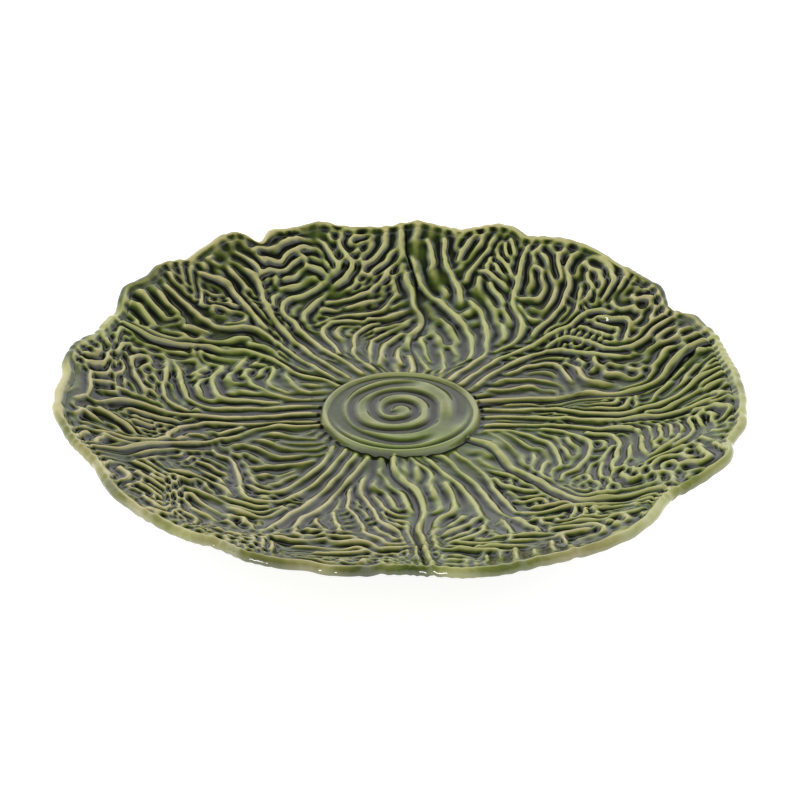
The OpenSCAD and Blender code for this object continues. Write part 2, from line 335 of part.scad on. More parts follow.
// Ribs of the fourth leaf
leaf_4_shares = [
    [0.8, [[-0.068, 0.29], [-0.088, 0.335], [-0.112, 0.365], [-0.125, 0.38]]],
    [1, [
        [-0.04, 0.02], [-0.04, 0.1], [-0.047, 0.17], [-0.052, 0.27], [-0.05, 0.34], [-0.052, 0.4],
        [-0.063, 0.45], [-0.08, 0.49], [-0.105, 0.53], [-0.14, 0.552], [-0.18, 0.565], [-0.21, 0.6],
        [-0.228, 0.65], [-0.238, 0.71], [-0.24, 0.77], [-0.247, 0.82]]],
    [1.1, [
        [0.01, 0.03], [0.002, 0.1], [-0.005, 0.18], [-0.01, 0.26], [-0.016, 0.34], [-0.021, 0.42],
        [-0.024, 0.5], [-0.026, 0.56], [-0.02, 0.63], [-0.02, 0.69], [-0.03, 0.75], [-0.05, 0.8],
        [-0.075, 0.845]]],
    [0.8, [[-0.072, 0.53], [-0.073, 0.6], [-0.07, 0.67], [-0.065, 0.72]]],
    [1, [
        [0.055, 0.03], [0.048, 0.1], [0.042, 0.17], [0.042, 0.25], [0.038, 0.33], [0.033, 0.4],
        [0.035, 0.45], [0.05, 0.485], [0.075, 0.515], [0.12, 0.53], [0.17, 0.548], [0.22, 0.565],
        [0.27, 0.58]]],
    [0.9, [
        [0, 0.5], [0.01, 0.54], [0.03, 0.58], [0.06, 0.603], [0.11, 0.607], [0.18, 0.605],
        [0.24, 0.605], [0.29, 0.62]]],
    [1, [
        [0.068, 0.16], [0.073, 0.23], [0.08, 0.3], [0.083, 0.36], [0.1, 0.4], [0.14, 0.413],
        [0.18, 0.425], [0.212, 0.415], [0.235, 0.39], [0.28, 0.385]]],
    [0.8, [[0.11, 0.47], [0.145, 0.483], [0.175, 0.467], [0.2, 0.44]]],
    [0.8, [[0.2, 0.51], [0.25, 0.49], [0.3, 0.487], [0.335, 0.46], [0.36, 0.42]]],
    [0.7, [[0.23, 0.46], [0.26, 0.44], [0.3, 0.432], [0.33, 0.415], [0.345, 0.38]]],
    [0.7, [[0.256, 0.34], [0.283, 0.32], [0.31, 0.305], [0.34, 0.3]]],
    [1, [
        [0.095, 0.04], [0.088, 0.1], [0.098, 0.155], [0.125, 0.2], [0.155, 0.235], [0.185, 0.27],
        [0.225, 0.297], [0.26, 0.305]]],
    [0.9, [
        [0.115, 0.125], [0.14, 0.16], [0.165, 0.195], [0.19, 0.215], [0.215, 0.2], [0.26, 0.19],
        [0.29, 0.195]]],
    [0.9, [[0.125, 0.04], [0.145, 0.08], [0.175, 0.115], [0.215, 0.135], [0.255, 0.15]]],
    [0.8, [[-0.135, 0.5], [-0.125, 0.46], [-0.125, 0.43], [-0.142, 0.428]]],
    [0.9, [
        [0.055, 0.665], [0.09, 0.69], [0.13, 0.718], [0.18, 0.73], [0.215, 0.738], [0.235, 0.71],
        [0.24, 0.665]]],
    [1, [[0.035, 0.78], [0.035, 0.74], [0.025, 0.7]]],
    [0.8, [
        [-0.098, 0.95], [-0.088, 0.915], [-0.062, 0.885], [-0.03, 0.868], [0.005, 0.863], [0.04, 0.873],
        [0.09, 0.88]]],
    [0.7, [[0.125, 0.25], [0.135, 0.29], [0.152, 0.335]]],
    [0.6, [[0.18, 0.335], [0.19, 0.315]]],
    [0.7, [[0.225, 0.25], [0.25, 0.24], [0.275, 0.215]]],
    [0.6, [[0.015, 0.46], [0.025, 0.49]]],
    [0.7, [[0.108, 0.787], [0.13, 0.77], [0.158, 0.758], [0.189, 0.77]]],
    [0.7, [[0.126, 0.845], [0.15, 0.83], [0.18, 0.822], [0.2, 0.83]]],
    [0.7, [[0.216, 0.793], [0.247, 0.787], [0.274, 0.776], [0.283, 0.752], [0.29, 0.735]]],
    [0.7, [[0.247, 0.828], [0.275, 0.832], [0.3, 0.845], [0.33, 0.84]]],
    [0.7, [[0.3, 0.805], [0.33, 0.812], [0.35, 0.79], [0.34, 0.755]]],
    [0.7, [[0.2, 0.885], [0.23, 0.875], [0.26, 0.865], [0.28, 0.875]]],
    [0.7, [[0.166, 0.93], [0.185, 0.91], [0.195, 0.88], [0.2, 0.85]]],
    [0.7, [[0.12, 0.9], [0.125, 0.87], [0.14, 0.845]]],
    [0.6, [[0.265, 0.532], [0.29, 0.537]]],
    [0.6, [[0.075, 0.75], [0.1, 0.755], [0.12, 0.752]]],
    [0.7, [[-0.17, 0.905], [-0.15, 0.88], [-0.13, 0.86]]],
    [0.7, [[-0.228, 0.905], [-0.215, 0.875], [-0.2, 0.845]]],
    [0.7, [[-0.29, 0.875], [-0.255, 0.87], [-0.23, 0.85]]],
    [0.7, [[-0.33, 0.81], [-0.295, 0.805], [-0.27, 0.785]]],
    [0.8, [[-0.1, 0.83], [-0.13, 0.775], [-0.165, 0.725], [-0.195, 0.68]]],
    [0.7, [[-0.135, 0.9], [-0.16, 0.84], [-0.185, 0.79]]],
    [0.7, [[-0.26, 0.8], [-0.27, 0.74], [-0.255, 0.69]]],
    [0.7, [[0.075, 0.66], [0.045, 0.62]]],
    [0.7, [[0.1, 0.965], [0.055, 0.955], [0.015, 0.94]]],
    [0.7, [[-0.055, 0.9], [-0.065, 0.85], [-0.06, 0.8]]],
    [0.7, [[0.16, 0.96], [0.19, 0.93], [0.24, 0.92]]],
    [0.7, [[0.03, 0.86], [0.05, 0.81], [0.06, 0.765]]],
    [0.7, [[0.15, 0.65], [0.12, 0.63], [0.11, 0.6]]],
    [0.7, [[-0.24, 0.93], [-0.27, 0.89], [-0.275, 0.85]]],
    [0.7, [[0.3, 0.89], [0.335, 0.86], [0.36, 0.82]]],
    [0.7, [[-0.12, 0.7], [-0.125, 0.65], [-0.115, 0.61]]]
];
// Ribs of the fifth leaf
leaf_5_shares = [
    [1.1, [
        [-0.04, 0.02], [-0.045, 0.1], [-0.049, 0.15], [-0.055, 0.23], [-0.058, 0.3], [-0.063, 0.35],
        [-0.068, 0.4], [-0.075, 0.46], [-0.072, 0.52], [-0.075, 0.58], [-0.085, 0.64], [-0.107, 0.694],
        [-0.13, 0.717], [-0.155, 0.728]]],
    [1, [
        [0, 0.02], [-0.007, 0.1], [-0.014, 0.18], [-0.02, 0.28], [-0.023, 0.37], [-0.027, 0.46],
        [-0.029, 0.54], [-0.033, 0.62], [-0.037, 0.7], [-0.045, 0.73]]],
    [1, [
        [0.044, 0.01], [0.036, 0.07], [0.03, 0.13], [0.024, 0.19], [0.022, 0.26], [0.024, 0.32],
        [0.03, 0.38], [0.037, 0.44], [0.05, 0.485], [0.075, 0.515], [0.11, 0.525], [0.145, 0.505],
        [0.175, 0.465], [0.205, 0.41], [0.235, 0.36], [0.265, 0.318], [0.29, 0.3], [0.33, 0.305],
        [0.355, 0.29], [0.37, 0.265]]],
    [1.1, [
        [0.078, 0.01], [0.07, 0.07], [0.064, 0.12], [0.056, 0.155], [0.058, 0.2], [0.06, 0.25],
        [0.066, 0.3], [0.072, 0.35], [0.08, 0.4], [0.095, 0.43], [0.125, 0.44], [0.16, 0.432],
        [0.18, 0.425]]],
    [0.8, [
        [-0.09, 0.055], [-0.107, 0.09], [-0.134, 0.113], [-0.152, 0.136], [-0.17, 0.16],
        [-0.196, 0.177], [-0.223, 0.183], [-0.24, 0.206], [-0.254, 0.235], [-0.277, 0.264],
        [-0.3, 0.287]]],
    [0.8, [
        [-0.085, 0.17], [-0.098, 0.2], [-0.11, 0.235], [-0.134, 0.27], [-0.16, 0.3], [-0.187, 0.328],
        [-0.214, 0.363], [-0.24, 0.39], [-0.272, 0.42], [-0.304, 0.438], [-0.335, 0.45]]],
    [0.8, [
        [-0.076, 0.246], [-0.09, 0.276], [-0.107, 0.316], [-0.13, 0.37], [-0.156, 0.39], [-0.18, 0.41],
        [-0.2, 0.438], [-0.223, 0.467], [-0.25, 0.514], [-0.286, 0.537], [-0.32, 0.555], [-0.348, 0.578]]],
    [0.8, [[-0.11, 0.43], [-0.13, 0.465], [-0.15, 0.5], [-0.174, 0.537], [-0.192, 0.566], [-0.2, 0.59]]],
    [0.7, [[-0.098, 0.514], [-0.11, 0.543], [-0.13, 0.566], [-0.152, 0.59], [-0.18, 0.6]]],
    [0.7, [[-0.29, 0.31], [-0.265, 0.33], [-0.235, 0.32], [-0.21, 0.3], [-0.19, 0.27]]],
    [0.7, [[-0.205, 0.235], [-0.185, 0.212], [-0.155, 0.195], [-0.12, 0.182]]],
    [0.6, [[-0.32, 0.355], [-0.29, 0.368], [-0.265, 0.36]]],
    [0.7, [[-0.17, 0.625], [-0.143, 0.62], [-0.116, 0.63], [-0.107, 0.65]]],
    [0.8, [[0.085, 0.25], [0.1, 0.31], [0.11, 0.35], [0.12, 0.375]]],
    [0.7, [[0.107, 0.235], [0.115, 0.27], [0.122, 0.3], [0.13, 0.34]]],
    [0.8, [[0.158, 0.3], [0.17, 0.328], [0.184, 0.345]]],
    [0.9, [
        [0.083, 0.14], [0.105, 0.168], [0.135, 0.208], [0.16, 0.237], [0.185, 0.268], [0.21, 0.292],
        [0.235, 0.308]]],
    [0.8, [
        [0.08, 0.07], [0.095, 0.105], [0.125, 0.13], [0.15, 0.16], [0.175, 0.187], [0.22, 0.183],
        [0.27, 0.177], [0.315, 0.177]]],
    [0.8, [
        [0.092, 0.02], [0.105, 0.065], [0.135, 0.095], [0.17, 0.12], [0.22, 0.123], [0.27, 0.12],
        [0.31, 0.125]]],
    [0.8, [[0.11, 0.01], [0.13, 0.045], [0.16, 0.07], [0.195, 0.088], [0.235, 0.09]]],
    [0.8, [[0.14, 0.005], [0.165, 0.03], [0.2, 0.045], [0.25, 0.05], [0.28, 0.07]]],
    [0.9, [
        [0, 0.5], [0.003, 0.56], [0.008, 0.61], [0.025, 0.645], [0.06, 0.652], [0.11, 0.648],
        [0.15, 0.64]]],
    [0.8, [
        [0.018, 0.5], [0.027, 0.555], [0.04, 0.6], [0.065, 0.622], [0.12, 0.622], [0.18, 0.617],
        [0.24, 0.612], [0.29, 0.625]]],
    [0.8, [[0.046, 0.537], [0.068, 0.555], [0.104, 0.566], [0.13, 0.578], [0.162, 0.587], [0.2, 0.585]]],
    [0.8, [
        [0.165, 0.552], [0.19, 0.528], [0.225, 0.513], [0.265, 0.51], [0.3, 0.522], [0.345, 0.535],
        [0.39, 0.543]]],
    [0.6, [[0.15, 0.403], [0.175, 0.386], [0.198, 0.369]]],
    [0.6, [[0.18, 0.245], [0.205, 0.256], [0.235, 0.245]]],
    [0.6, [[0.27, 0.265], [0.3, 0.262], [0.32, 0.255]]],
    [0.7, [[0.225, 0.49], [0.25, 0.465], [0.28, 0.462], [0.31, 0.45]]],
    [0.7, [[0.245, 0.405], [0.28, 0.41], [0.32, 0.4], [0.36, 0.4]]],
    [0.7, [[0.238, 0.56], [0.256, 0.537], [0.283, 0.543], [0.3, 0.555]]],
    [0.6, [[0.336, 0.66], [0.363, 0.66], [0.385, 0.635]]],
    [0.7, [[0.1, 0.96], [0.105, 0.9], [0.12, 0.86]]],
    [0.7, [[0.22, 0.83], [0.207, 0.88], [0.193, 0.93]]],
    [0.7, [[0.25, 0.82], [0.265, 0.85], [0.29, 0.88]]],
    [0.8, [[-0.152, 0.985], [-0.147, 0.93], [-0.134, 0.886], [-0.11, 0.845]]],
    [1, [[-0.384, 0.9], [-0.39, 0.85], [-0.39, 0.79]]],
    [0.7, [[0.46, 0.6], [0.4, 0.61], [0.345, 0.63]]],
    [0.7, [[0.42, 0.68], [0.36, 0.69], [0.3, 0.71]]],
    [0.7, [[0.37, 0.76], [0.32, 0.77], [0.265, 0.79]]],
    [0.7, [[0.24, 0.68], [0.18, 0.7], [0.12, 0.715]]],
    [0.7, [[0.19, 0.775], [0.14, 0.79], [0.085, 0.8]]],
    [0.7, [[0.04, 0.72], [-0.01, 0.75]]],
    [0.7, [[0.06, 0.86], [0.02, 0.865], [-0.03, 0.87]]],
    [0.7, [[-0.16, 0.82], [-0.22, 0.76], [-0.27, 0.705]]],
    [0.7, [[-0.24, 0.84], [-0.3, 0.77], [-0.34, 0.71]]],
    [0.7, [[-0.21, 0.71], [-0.26, 0.66], [-0.31, 0.62]]],
    [0.7, [[0.31, 0.84], [0.26, 0.86], [0.22, 0.88]]],
    [0.7, [[0.46, 0.7], [0.42, 0.73], [0.39, 0.77]]],
    [0.7, [[-0.1, 0.79], [-0.14, 0.77], [-0.18, 0.73]]],
    [0.7, [[-0.35, 0.64], [-0.39, 0.6], [-0.41, 0.55]]]
];
// Ribs of the sixth leaf
leaf_6_shares = [
    [1, [
        [-0.033, 0.02], [-0.035, 0.1], [-0.038, 0.17], [-0.038, 0.22], [-0.027, 0.3], [-0.022, 0.35],
        [-0.016, 0.4], [-0.009, 0.45], [-0.0045, 0.5], [-0.003, 0.53], [-0.012, 0.56], [-0.03, 0.59],
        [-0.06, 0.605], [-0.1, 0.612], [-0.13, 0.64], [-0.15, 0.67], [-0.18, 0.695]]],
    [1.1, [
        [0.01, 0.02], [0.008, 0.12], [0.008, 0.2], [0.011, 0.28], [0.018, 0.36], [0.028, 0.43],
        [0.033, 0.5], [0.025, 0.56], [0.022, 0.63], [0.024, 0.7], [0.035, 0.745]]],
    [1, [
        [0.053, 0.02], [0.053, 0.1], [0.055, 0.17], [0.052, 0.24], [0.055, 0.3], [0.063, 0.36],
        [0.075, 0.415], [0.084, 0.46], [0.095, 0.5]]],
    [0.9, [[0.055, 0.54], [0.063, 0.58], [0.073, 0.613], [0.086, 0.67], [0.104, 0.717], [0.117, 0.747]]],
    [0.9, [[0.095, 0.02], [0.088, 0.07], [0.085, 0.11], [0.098, 0.15], [0.125, 0.185]]],
    [1, [
        [0.075, 0.2], [0.082, 0.23], [0.09, 0.28], [0.105, 0.335], [0.128, 0.38], [0.155, 0.412],
        [0.195, 0.42], [0.22, 0.435]]],
    [0.9, [[0.115, 0.49], [0.14, 0.525], [0.18, 0.533], [0.22, 0.543], [0.25, 0.56]]],
    [0.9, [[0.12, 0.56], [0.14, 0.6], [0.175, 0.62], [0.22, 0.63], [0.27, 0.64]]],
    [0.8, [[0.13, 0.215], [0.137, 0.245], [0.152, 0.285]]],
    [0.9, [[0.14, 0.01], [0.145, 0.055], [0.147, 0.09]]],
    [0.7, [[0.104, 0.055], [0.126, 0.09]]],
    [0.7, [[-0.107, 0.124], [-0.1, 0.09], [-0.09, 0.05]]],
    [0.8, [[-0.07, 0.1], [-0.075, 0.155], [-0.09, 0.2], [-0.105, 0.235]]],
    [0.8, [[-0.107, 0.31], [-0.09, 0.27], [-0.072, 0.225], [-0.062, 0.17]]],
    [1.1, [[-0.047, 0.26], [-0.055, 0.32], [-0.075, 0.37], [-0.097, 0.405], [-0.107, 0.43]]],
    [0.8, [[-0.035, 0.44], [-0.055, 0.47], [-0.08, 0.487], [-0.108, 0.51]]],
    [0.7, [[-0.045, 0.53], [-0.08, 0.555], [-0.11, 0.565], [-0.13, 0.585]]],
    [0.7, [[-0.125, 0.66], [-0.11, 0.69], [-0.09, 0.715]]],
    [0.7, [[-0.03, 0.71], [-0.012, 0.68], [-0.02, 0.65], [-0.04, 0.635]]],
    [0.9, [
        [-0.07, 0.96], [-0.085, 0.92], [-0.09, 0.885], [-0.08, 0.85], [-0.0625, 0.815], [-0.04, 0.775],
        [-0.018, 0.757], [0.01, 0.757]]],
    [0.7, [[-0.29, 0.83], [-0.29, 0.87], [-0.272, 0.89]]],
    [0.7, [[-0.255, 0.87], [-0.25, 0.83], [-0.24, 0.8]]],
    [0.7, [[-0.183, 0.845], [-0.174, 0.9], [-0.156, 0.94]]],
    [0.7, [[-0.13, 0.92], [-0.116, 0.96]]],
    [0.8, [[0.02, 0.874], [0.037, 0.915], [0.05, 0.95], [0.064, 0.985]]],
    [0.8, [[0.06, 0.88], [0.077, 0.927], [0.1, 0.985]]],
    [0.8, [[0.13, 0.91], [0.149, 0.944], [0.18, 0.985]]],
    [0.8, [[0.162, 0.85], [0.184, 0.9], [0.207, 0.95], [0.22, 0.99]]],
    [0.8, [[0.247, 0.845], [0.265, 0.89], [0.3, 0.93], [0.327, 0.967]]],
    [0.8, [[0.3, 0.83], [0.327, 0.88], [0.354, 0.93]]],
    [0.7, [[0.135, 0.67], [0.085, 0.73], [0.035, 0.785]]],
    [0.7, [[0.2, 0.74], [0.15, 0.8], [0.1, 0.85]]],
    [0.7, [[-0.15, 0.72], [-0.19, 0.75], [-0.23, 0.775]]],
    [0.7, [[0.28, 0.72], [0.24, 0.775], [0.2, 0.825]]],
    [0.7, [[0.04, 0.86], [-0.02, 0.89], [-0.07, 0.9]]],
    [0.7, [[-0.15, 0.84], [-0.2, 0.87], [-0.24, 0.875]]],
    [0.7, [[0.25, 0.64], [0.22, 0.68], [0.18, 0.71]]],
    [0.7, [[0.34, 0.72], [0.36, 0.66], [0.35, 0.6]]],
    [0.7, [[-0.26, 0.83], [-0.3, 0.85]]],
    [0.7, [[0.35, 0.8], [0.31, 0.85], [0.27, 0.88]]],
    [0.7, [[0, 0.63], [-0.04, 0.66], [-0.09, 0.67]]]
];
// The raised edge of the next leaf where it lies over this one, traced in this leaf's own places
seam_1_shares = [
    [-0.087, 0.01], [-0.083, 0.06], [-0.095, 0.12], [-0.1, 0.19], [-0.092, 0.27], [-0.115, 0.335],
    [-0.126, 0.38], [-0.115, 0.44], [-0.095, 0.51], [-0.09, 0.58], [-0.1, 0.64], [-0.13, 0.69],
    [-0.17, 0.72], [-0.21, 0.765], [-0.26, 0.81], [-0.31, 0.85]
];
seam_2_shares = [
    [-0.107, 0.025], [-0.15, 0.095], [-0.19, 0.15], [-0.213, 0.21], [-0.217, 0.28], [-0.218, 0.33],
    [-0.237, 0.385], [-0.285, 0.43], [-0.305, 0.47], [-0.32, 0.505], [-0.345, 0.545], [-0.375, 0.59],
    [-0.41, 0.635], [-0.45, 0.69], [-0.49, 0.76]
];
seam_3_shares = [
    [-0.088, 0.02], [-0.095, 0.07], [-0.125, 0.11], [-0.15, 0.15], [-0.16, 0.2], [-0.165, 0.26],
    [-0.185, 0.32], [-0.215, 0.375], [-0.25, 0.425], [-0.3, 0.455], [-0.36, 0.475], [-0.42, 0.51],
    [-0.47, 0.55], [-0.51, 0.6], [-0.52, 0.67], [-0.515, 0.73]
];
seam_4_shares = [
    [-0.075, 0.03], [-0.075, 0.1], [-0.072, 0.18], [-0.08, 0.225], [-0.105, 0.275], [-0.135, 0.33],
    [-0.16, 0.39], [-0.185, 0.44], [-0.205, 0.495], [-0.215, 0.54], [-0.24, 0.58], [-0.265, 0.625],
    [-0.29, 0.67], [-0.32, 0.715], [-0.345, 0.76], [-0.37, 0.79], [-0.42, 0.81]
];
seam_5_shares = [
    [-0.125, 0.02], [-0.155, 0.06], [-0.19, 0.09], [-0.235, 0.115], [-0.265, 0.145], [-0.292, 0.18],
    [-0.315, 0.22], [-0.333, 0.26], [-0.347, 0.31], [-0.36, 0.36], [-0.38, 0.41], [-0.41, 0.46],
    [-0.445, 0.515], [-0.475, 0.57], [-0.51, 0.64]
];
seam_6_shares = [
    [-0.13, 0.01], [-0.143, 0.06], [-0.145, 0.12], [-0.137, 0.18], [-0.132, 0.24], [-0.142, 0.29],
    [-0.153, 0.34], [-0.156, 0.4], [-0.157, 0.46], [-0.16, 0.52], [-0.166, 0.575], [-0.178, 0.63],
    [-0.205, 0.665], [-0.25, 0.692], [-0.29, 0.718], [-0.325, 0.755], [-0.36, 0.775], [-0.41, 0.782]
];
// A soft step from 0 to 1
function ease(t) = t * t * (3 - 2 * t);
function unit(v) = v / norm(v);
function turn_of(p) = (atan2(p.y, p.x) + 360) % 360;

// A value between two rows of the rim's outline, eased so that bulges and notches are round
function rim_row(angle) = max([for (i = [0:len(rim_shares) - 2]) if (rim_shares[i][0] <= angle) i]);
function rim_value(angle, column) =
    let (i = rim_row(angle), low = rim_shares[i], high = rim_shares[i + 1])
    let (t = (angle - low[0]) / (high[0] - low[0]))
    low[column] + (high[column] - low[column]) * ease(t);

rim_turns = [for (i = [0:rim_steps]) i * 360 / rim_steps];
rim_radii = [for (a = rim_turns) [a, plate_r * rim_value(a, 1)]];
rim_waves = [for (a = rim_turns) [a, wave_h / 2 * rim_value(a, 2)]];

// Radius of the outer edge and height of the wall's upper face, at a place seen from above
function rim_radius(p) = lookup(turn_of(p), rim_radii);
function wall_z(p) =
    let (t = max(0, norm(p) - well_r) / (plate_r - well_r))
    well_z + rise_h * pow(t, coupe_power_share) + lookup(turn_of(p), rim_waves) * ease(min(t, 1));

// The underside follows the upper face, and thickens towards the foot ring
function under_z(p) =
    let (t = (norm(p) - foot_r) / (rim_radius(p) - foot_r), at_foot = unit(p) * foot_r)
    wall_z(p) - wall_t - (wall_z(at_foot) - wall_t - foot_h) * pow(1 - t, 2);

// Points of one upright cut through the wall at an angle, from the well over the lip to the foot
function wall_cut(angle) =
    let (out = [cos(angle), sin(angle)], edge_r = rim_radius(out), lip_r = edge_r - lip_w)
    let (edge_z = wall_z(out * edge_r), foot_out = (edge_r - lip_w / 2) - foot_r)
    concat(
        [for (s = wall_ring_shares) let (p = out * (well_r + s * (lip_r - well_r))) [p.x, p.y, wall_z(p)]],
        [for (s = lip_top_shares) let (p = out * (lip_r + s[0] * lip_w))
            [p.x, p.y, wall_z(p) + s[1] * lip_h]],
        [for (s = lip_side_shares) let (p = out * (lip_r + s[0] * lip_w))
            [p.x, p.y, edge_z - s[1] * wall_t]],
        [for (s = under_ring_shares) let (p = out * (foot_r + s * foot_out)) [p.x, p.y, under_z(p)]]
    );

// Upper and lower triangles between two neighbouring cuts, and the fans that close the well and floor
module dish() {
    cuts = [for (i = [0:rim_steps - 1]) wall_cut(rim_turns[i])];
    size = len(cuts[0]);
    points = concat([[0, 0, well_z], [0, 0, foot_h]], [for (cut = cuts) each cut]);
    faces = [for (i = [0:rim_steps - 1])
        let (here = 2 + i * size, next = 2 + ((i + 1) % rim_steps) * size) each concat(
            [[0, next, here]],
            [for (j = [0:size - 2]) each [
                [here + j, next + j, next + j + 1],
                [here + j, next + j + 1, here + j + 1]
            ]],
            [[1, here + size - 1, next + size - 1]]
        )];
    color("olivedrab") polyhedron(points, faces);
}

module foot_ring() {
    color("tan") rotate_extrude($fn = 96)
        translate([foot_r - foot_w, 0]) square([foot_w, foot_h]);
}

module stem_disc() {
    edge_z = disc_h + bead_h;
    color("yellowgreen") translate([0, 0, well_z]) rotate_extrude($fn = 96)
        polygon([
            [0, 0], [disc_r, 0], [disc_r, disc_h], [disc_r - bead_w / 3, edge_z],
            [disc_r - bead_w * 2 / 3, edge_z], [disc_r - bead_w, disc_h], [0, disc_h]
        ]);
}

// Faces of a tube of rings, each of the same number of points, closed at both ends
function tube_faces(rings, sides) = concat(
    [[for (j = [0:sides - 1]) j]],
    [for (i = [0:rings - 2]) for (j = [0:sides - 1])
        let (a = i * sides + j, b = i * sides + (j + 1) % sides) each [
            [a, a + sides, b + sides],
            [a, b + sides, b]
        ]],
    [[for (j = [sides - 1:-1:0]) (rings - 1) * sides + j]]
);

// Level direction of a path at one of its points, and the side to its left
function along(path, i) = unit(path[min(i + 1, len(path) - 1)] - path[max(i - 1, 0)]);
function left_of(v) = [-v.y, v.x];

// The coil's middle line, with one point between each two of its table
function coil_radius(step) =
    let (i = min(floor(step), len(coil_shares) - 2), t = step - i)
    disc_r * (coil_shares[i] + (coil_shares[i + 1] - coil_shares[i]) * t);
coil_path = [for (step = [0:0.5:len(coil_shares) - 1])
    let (a = coil_start_turn - coil_step_turn * step) coil_radius(step) * [cos(a), sin(a)]];
// The ridge's section: places across its width and shares of its height
coil_section_shares = [[0.5, 0], [0.35, 0.7], [0, 1], [-0.35, 0.7], [-0.5, 0]];

module stem_coil() {
    points = [for (i = [0:len(coil_path) - 1], s = coil_section_shares)
        let (p = coil_path[i] + left_of(along(coil_path, i)) * s[0] * coil_w)
        [p.x, p.y, disc_z + s[1] * coil_h]];
    color("darkseagreen") polyhedron(points, tube_faces(len(coil_path), len(coil_section_shares)));
}

// A leaf's own places, to the right of its axis and outwards from the disc, seen in the plate's frame
function leaf_place(leaf, share) =
    let (a = (leaf - 1) * 360 / leaves, right = share[0] * plate_r)
    let (out = disc_r + share[1] * (plate_r - disc_r))
    [out * cos(a) + right * sin(a), out * sin(a) - right * cos(a)];
function inside_lip(p, width) = norm(p) < rim_radius(p) - lip_w - width;
function leaf_path(leaf, shares, width) =
    [for (s = shares) let (p = leaf_place(leaf, s)) if (inside_lip(p, width)) p];

// A rib lies along its path on the curved wall, and runs out thinner at its far end
rib_section_shares = [[0.5, 0], [0.22, 1], [-0.22, 1], [-0.5, 0]];
rib_end_share = 0.55;
module rib(path, width, height) {
    last = len(path) - 1;
    points = [for (i = [0:last], s = rib_section_shares)
        let (thin = i < last ? 1 : rib_end_share)
        let (p = path[i] + left_of(along(path, i)) * s[0] * width * thin)
        [p.x, p.y, wall_z(p) + seat_gap + s[1] * height * thin]];
    polyhedron(points, tube_faces(last + 1, len(rib_section_shares)));
}

// One leaf's ribs, each with its share of the full width, and the raised edge that overlaps the next leaf
module leaf_ribs(leaf, ribs, seam) {
    for (r = ribs) {
        path = leaf_path(leaf, r[1], rib_w * r[0]);
        if (len(path) > 1) rib(path, rib_w * r[0], rib_h);
    }
    before = leaf == 1 ? leaves : leaf - 1;
    rib(leaf_path(before, seam, seam_w), seam_w, seam_h);
}

module leaf_1_ribs() { color("olive") leaf_ribs(1, leaf_1_shares, seam_6_shares); }
module leaf_2_ribs() { color("darkolivegreen") leaf_ribs(2, leaf_2_shares, seam_1_shares); }
module leaf_3_ribs() { color("olive") leaf_ribs(3, leaf_3_shares, seam_2_shares); }
module leaf_4_ribs() { color("darkolivegreen") leaf_ribs(4, leaf_4_shares, seam_3_shares); }
module leaf_5_ribs() { color("olive") leaf_ribs(5, leaf_5_shares, seam_4_shares); }
module leaf_6_ribs() { color("darkolivegreen") leaf_ribs(6, leaf_6_shares, seam_5_shares); }

dish();
foot_ring();
stem_disc();
stem_coil();
leaf_1_ribs();
leaf_2_ribs();
leaf_3_ribs();
leaf_4_ribs();
leaf_5_ribs();
leaf_6_ribs();
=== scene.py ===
import math

import bpy
import numpy as np
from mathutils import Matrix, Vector


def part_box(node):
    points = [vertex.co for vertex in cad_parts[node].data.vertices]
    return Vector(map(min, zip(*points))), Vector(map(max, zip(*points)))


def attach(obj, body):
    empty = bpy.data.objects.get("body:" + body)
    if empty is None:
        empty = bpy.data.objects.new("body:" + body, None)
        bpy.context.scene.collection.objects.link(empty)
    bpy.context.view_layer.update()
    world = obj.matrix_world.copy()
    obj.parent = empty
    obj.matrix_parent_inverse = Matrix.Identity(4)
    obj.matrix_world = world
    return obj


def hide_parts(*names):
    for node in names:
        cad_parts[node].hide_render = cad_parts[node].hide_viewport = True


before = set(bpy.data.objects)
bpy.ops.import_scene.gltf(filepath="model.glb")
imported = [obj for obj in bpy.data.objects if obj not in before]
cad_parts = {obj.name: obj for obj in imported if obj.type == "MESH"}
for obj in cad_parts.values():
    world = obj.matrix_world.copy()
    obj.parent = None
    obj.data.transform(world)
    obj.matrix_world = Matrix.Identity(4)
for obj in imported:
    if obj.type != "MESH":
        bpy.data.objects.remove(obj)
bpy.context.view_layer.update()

# The view: a long lens a good metre away, looking down on the plate at the angle at which its
# round stem disc shows as the photograph's flat ellipse. The disc's middle sits a little low.
VIEW_UP = math.radians(30.65)
VIEW_FAR = 1.2
VIEW_LENS = 132.6
VIEW_SENSOR = 36.0
PHOTO_SIDE = 800
DISC_MIDDLE_PX = (400.5, 413.0)
DISC_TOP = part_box("stem_coil")[0].z

camera_data = bpy.data.cameras.new("view")
camera_data.lens = VIEW_LENS
camera_data.sensor_width = VIEW_SENSOR
camera_data.shift_x = (PHOTO_SIDE / 2 - DISC_MIDDLE_PX[0]) / PHOTO_SIDE
camera_data.shift_y = (DISC_MIDDLE_PX[1] - PHOTO_SIDE / 2) / PHOTO_SIDE
camera = bpy.data.objects.new("view", camera_data)
bpy.context.scene.collection.objects.link(camera)
toward_view = Vector((0.0, -math.cos(VIEW_UP), math.sin(VIEW_UP)))
camera.location = Vector((0.0, 0.0, DISC_TOP)) + VIEW_FAR * toward_view
camera.rotation_euler = toward_view.to_track_quat("Z", "Y").to_euler()
bpy.context.scene.camera = camera


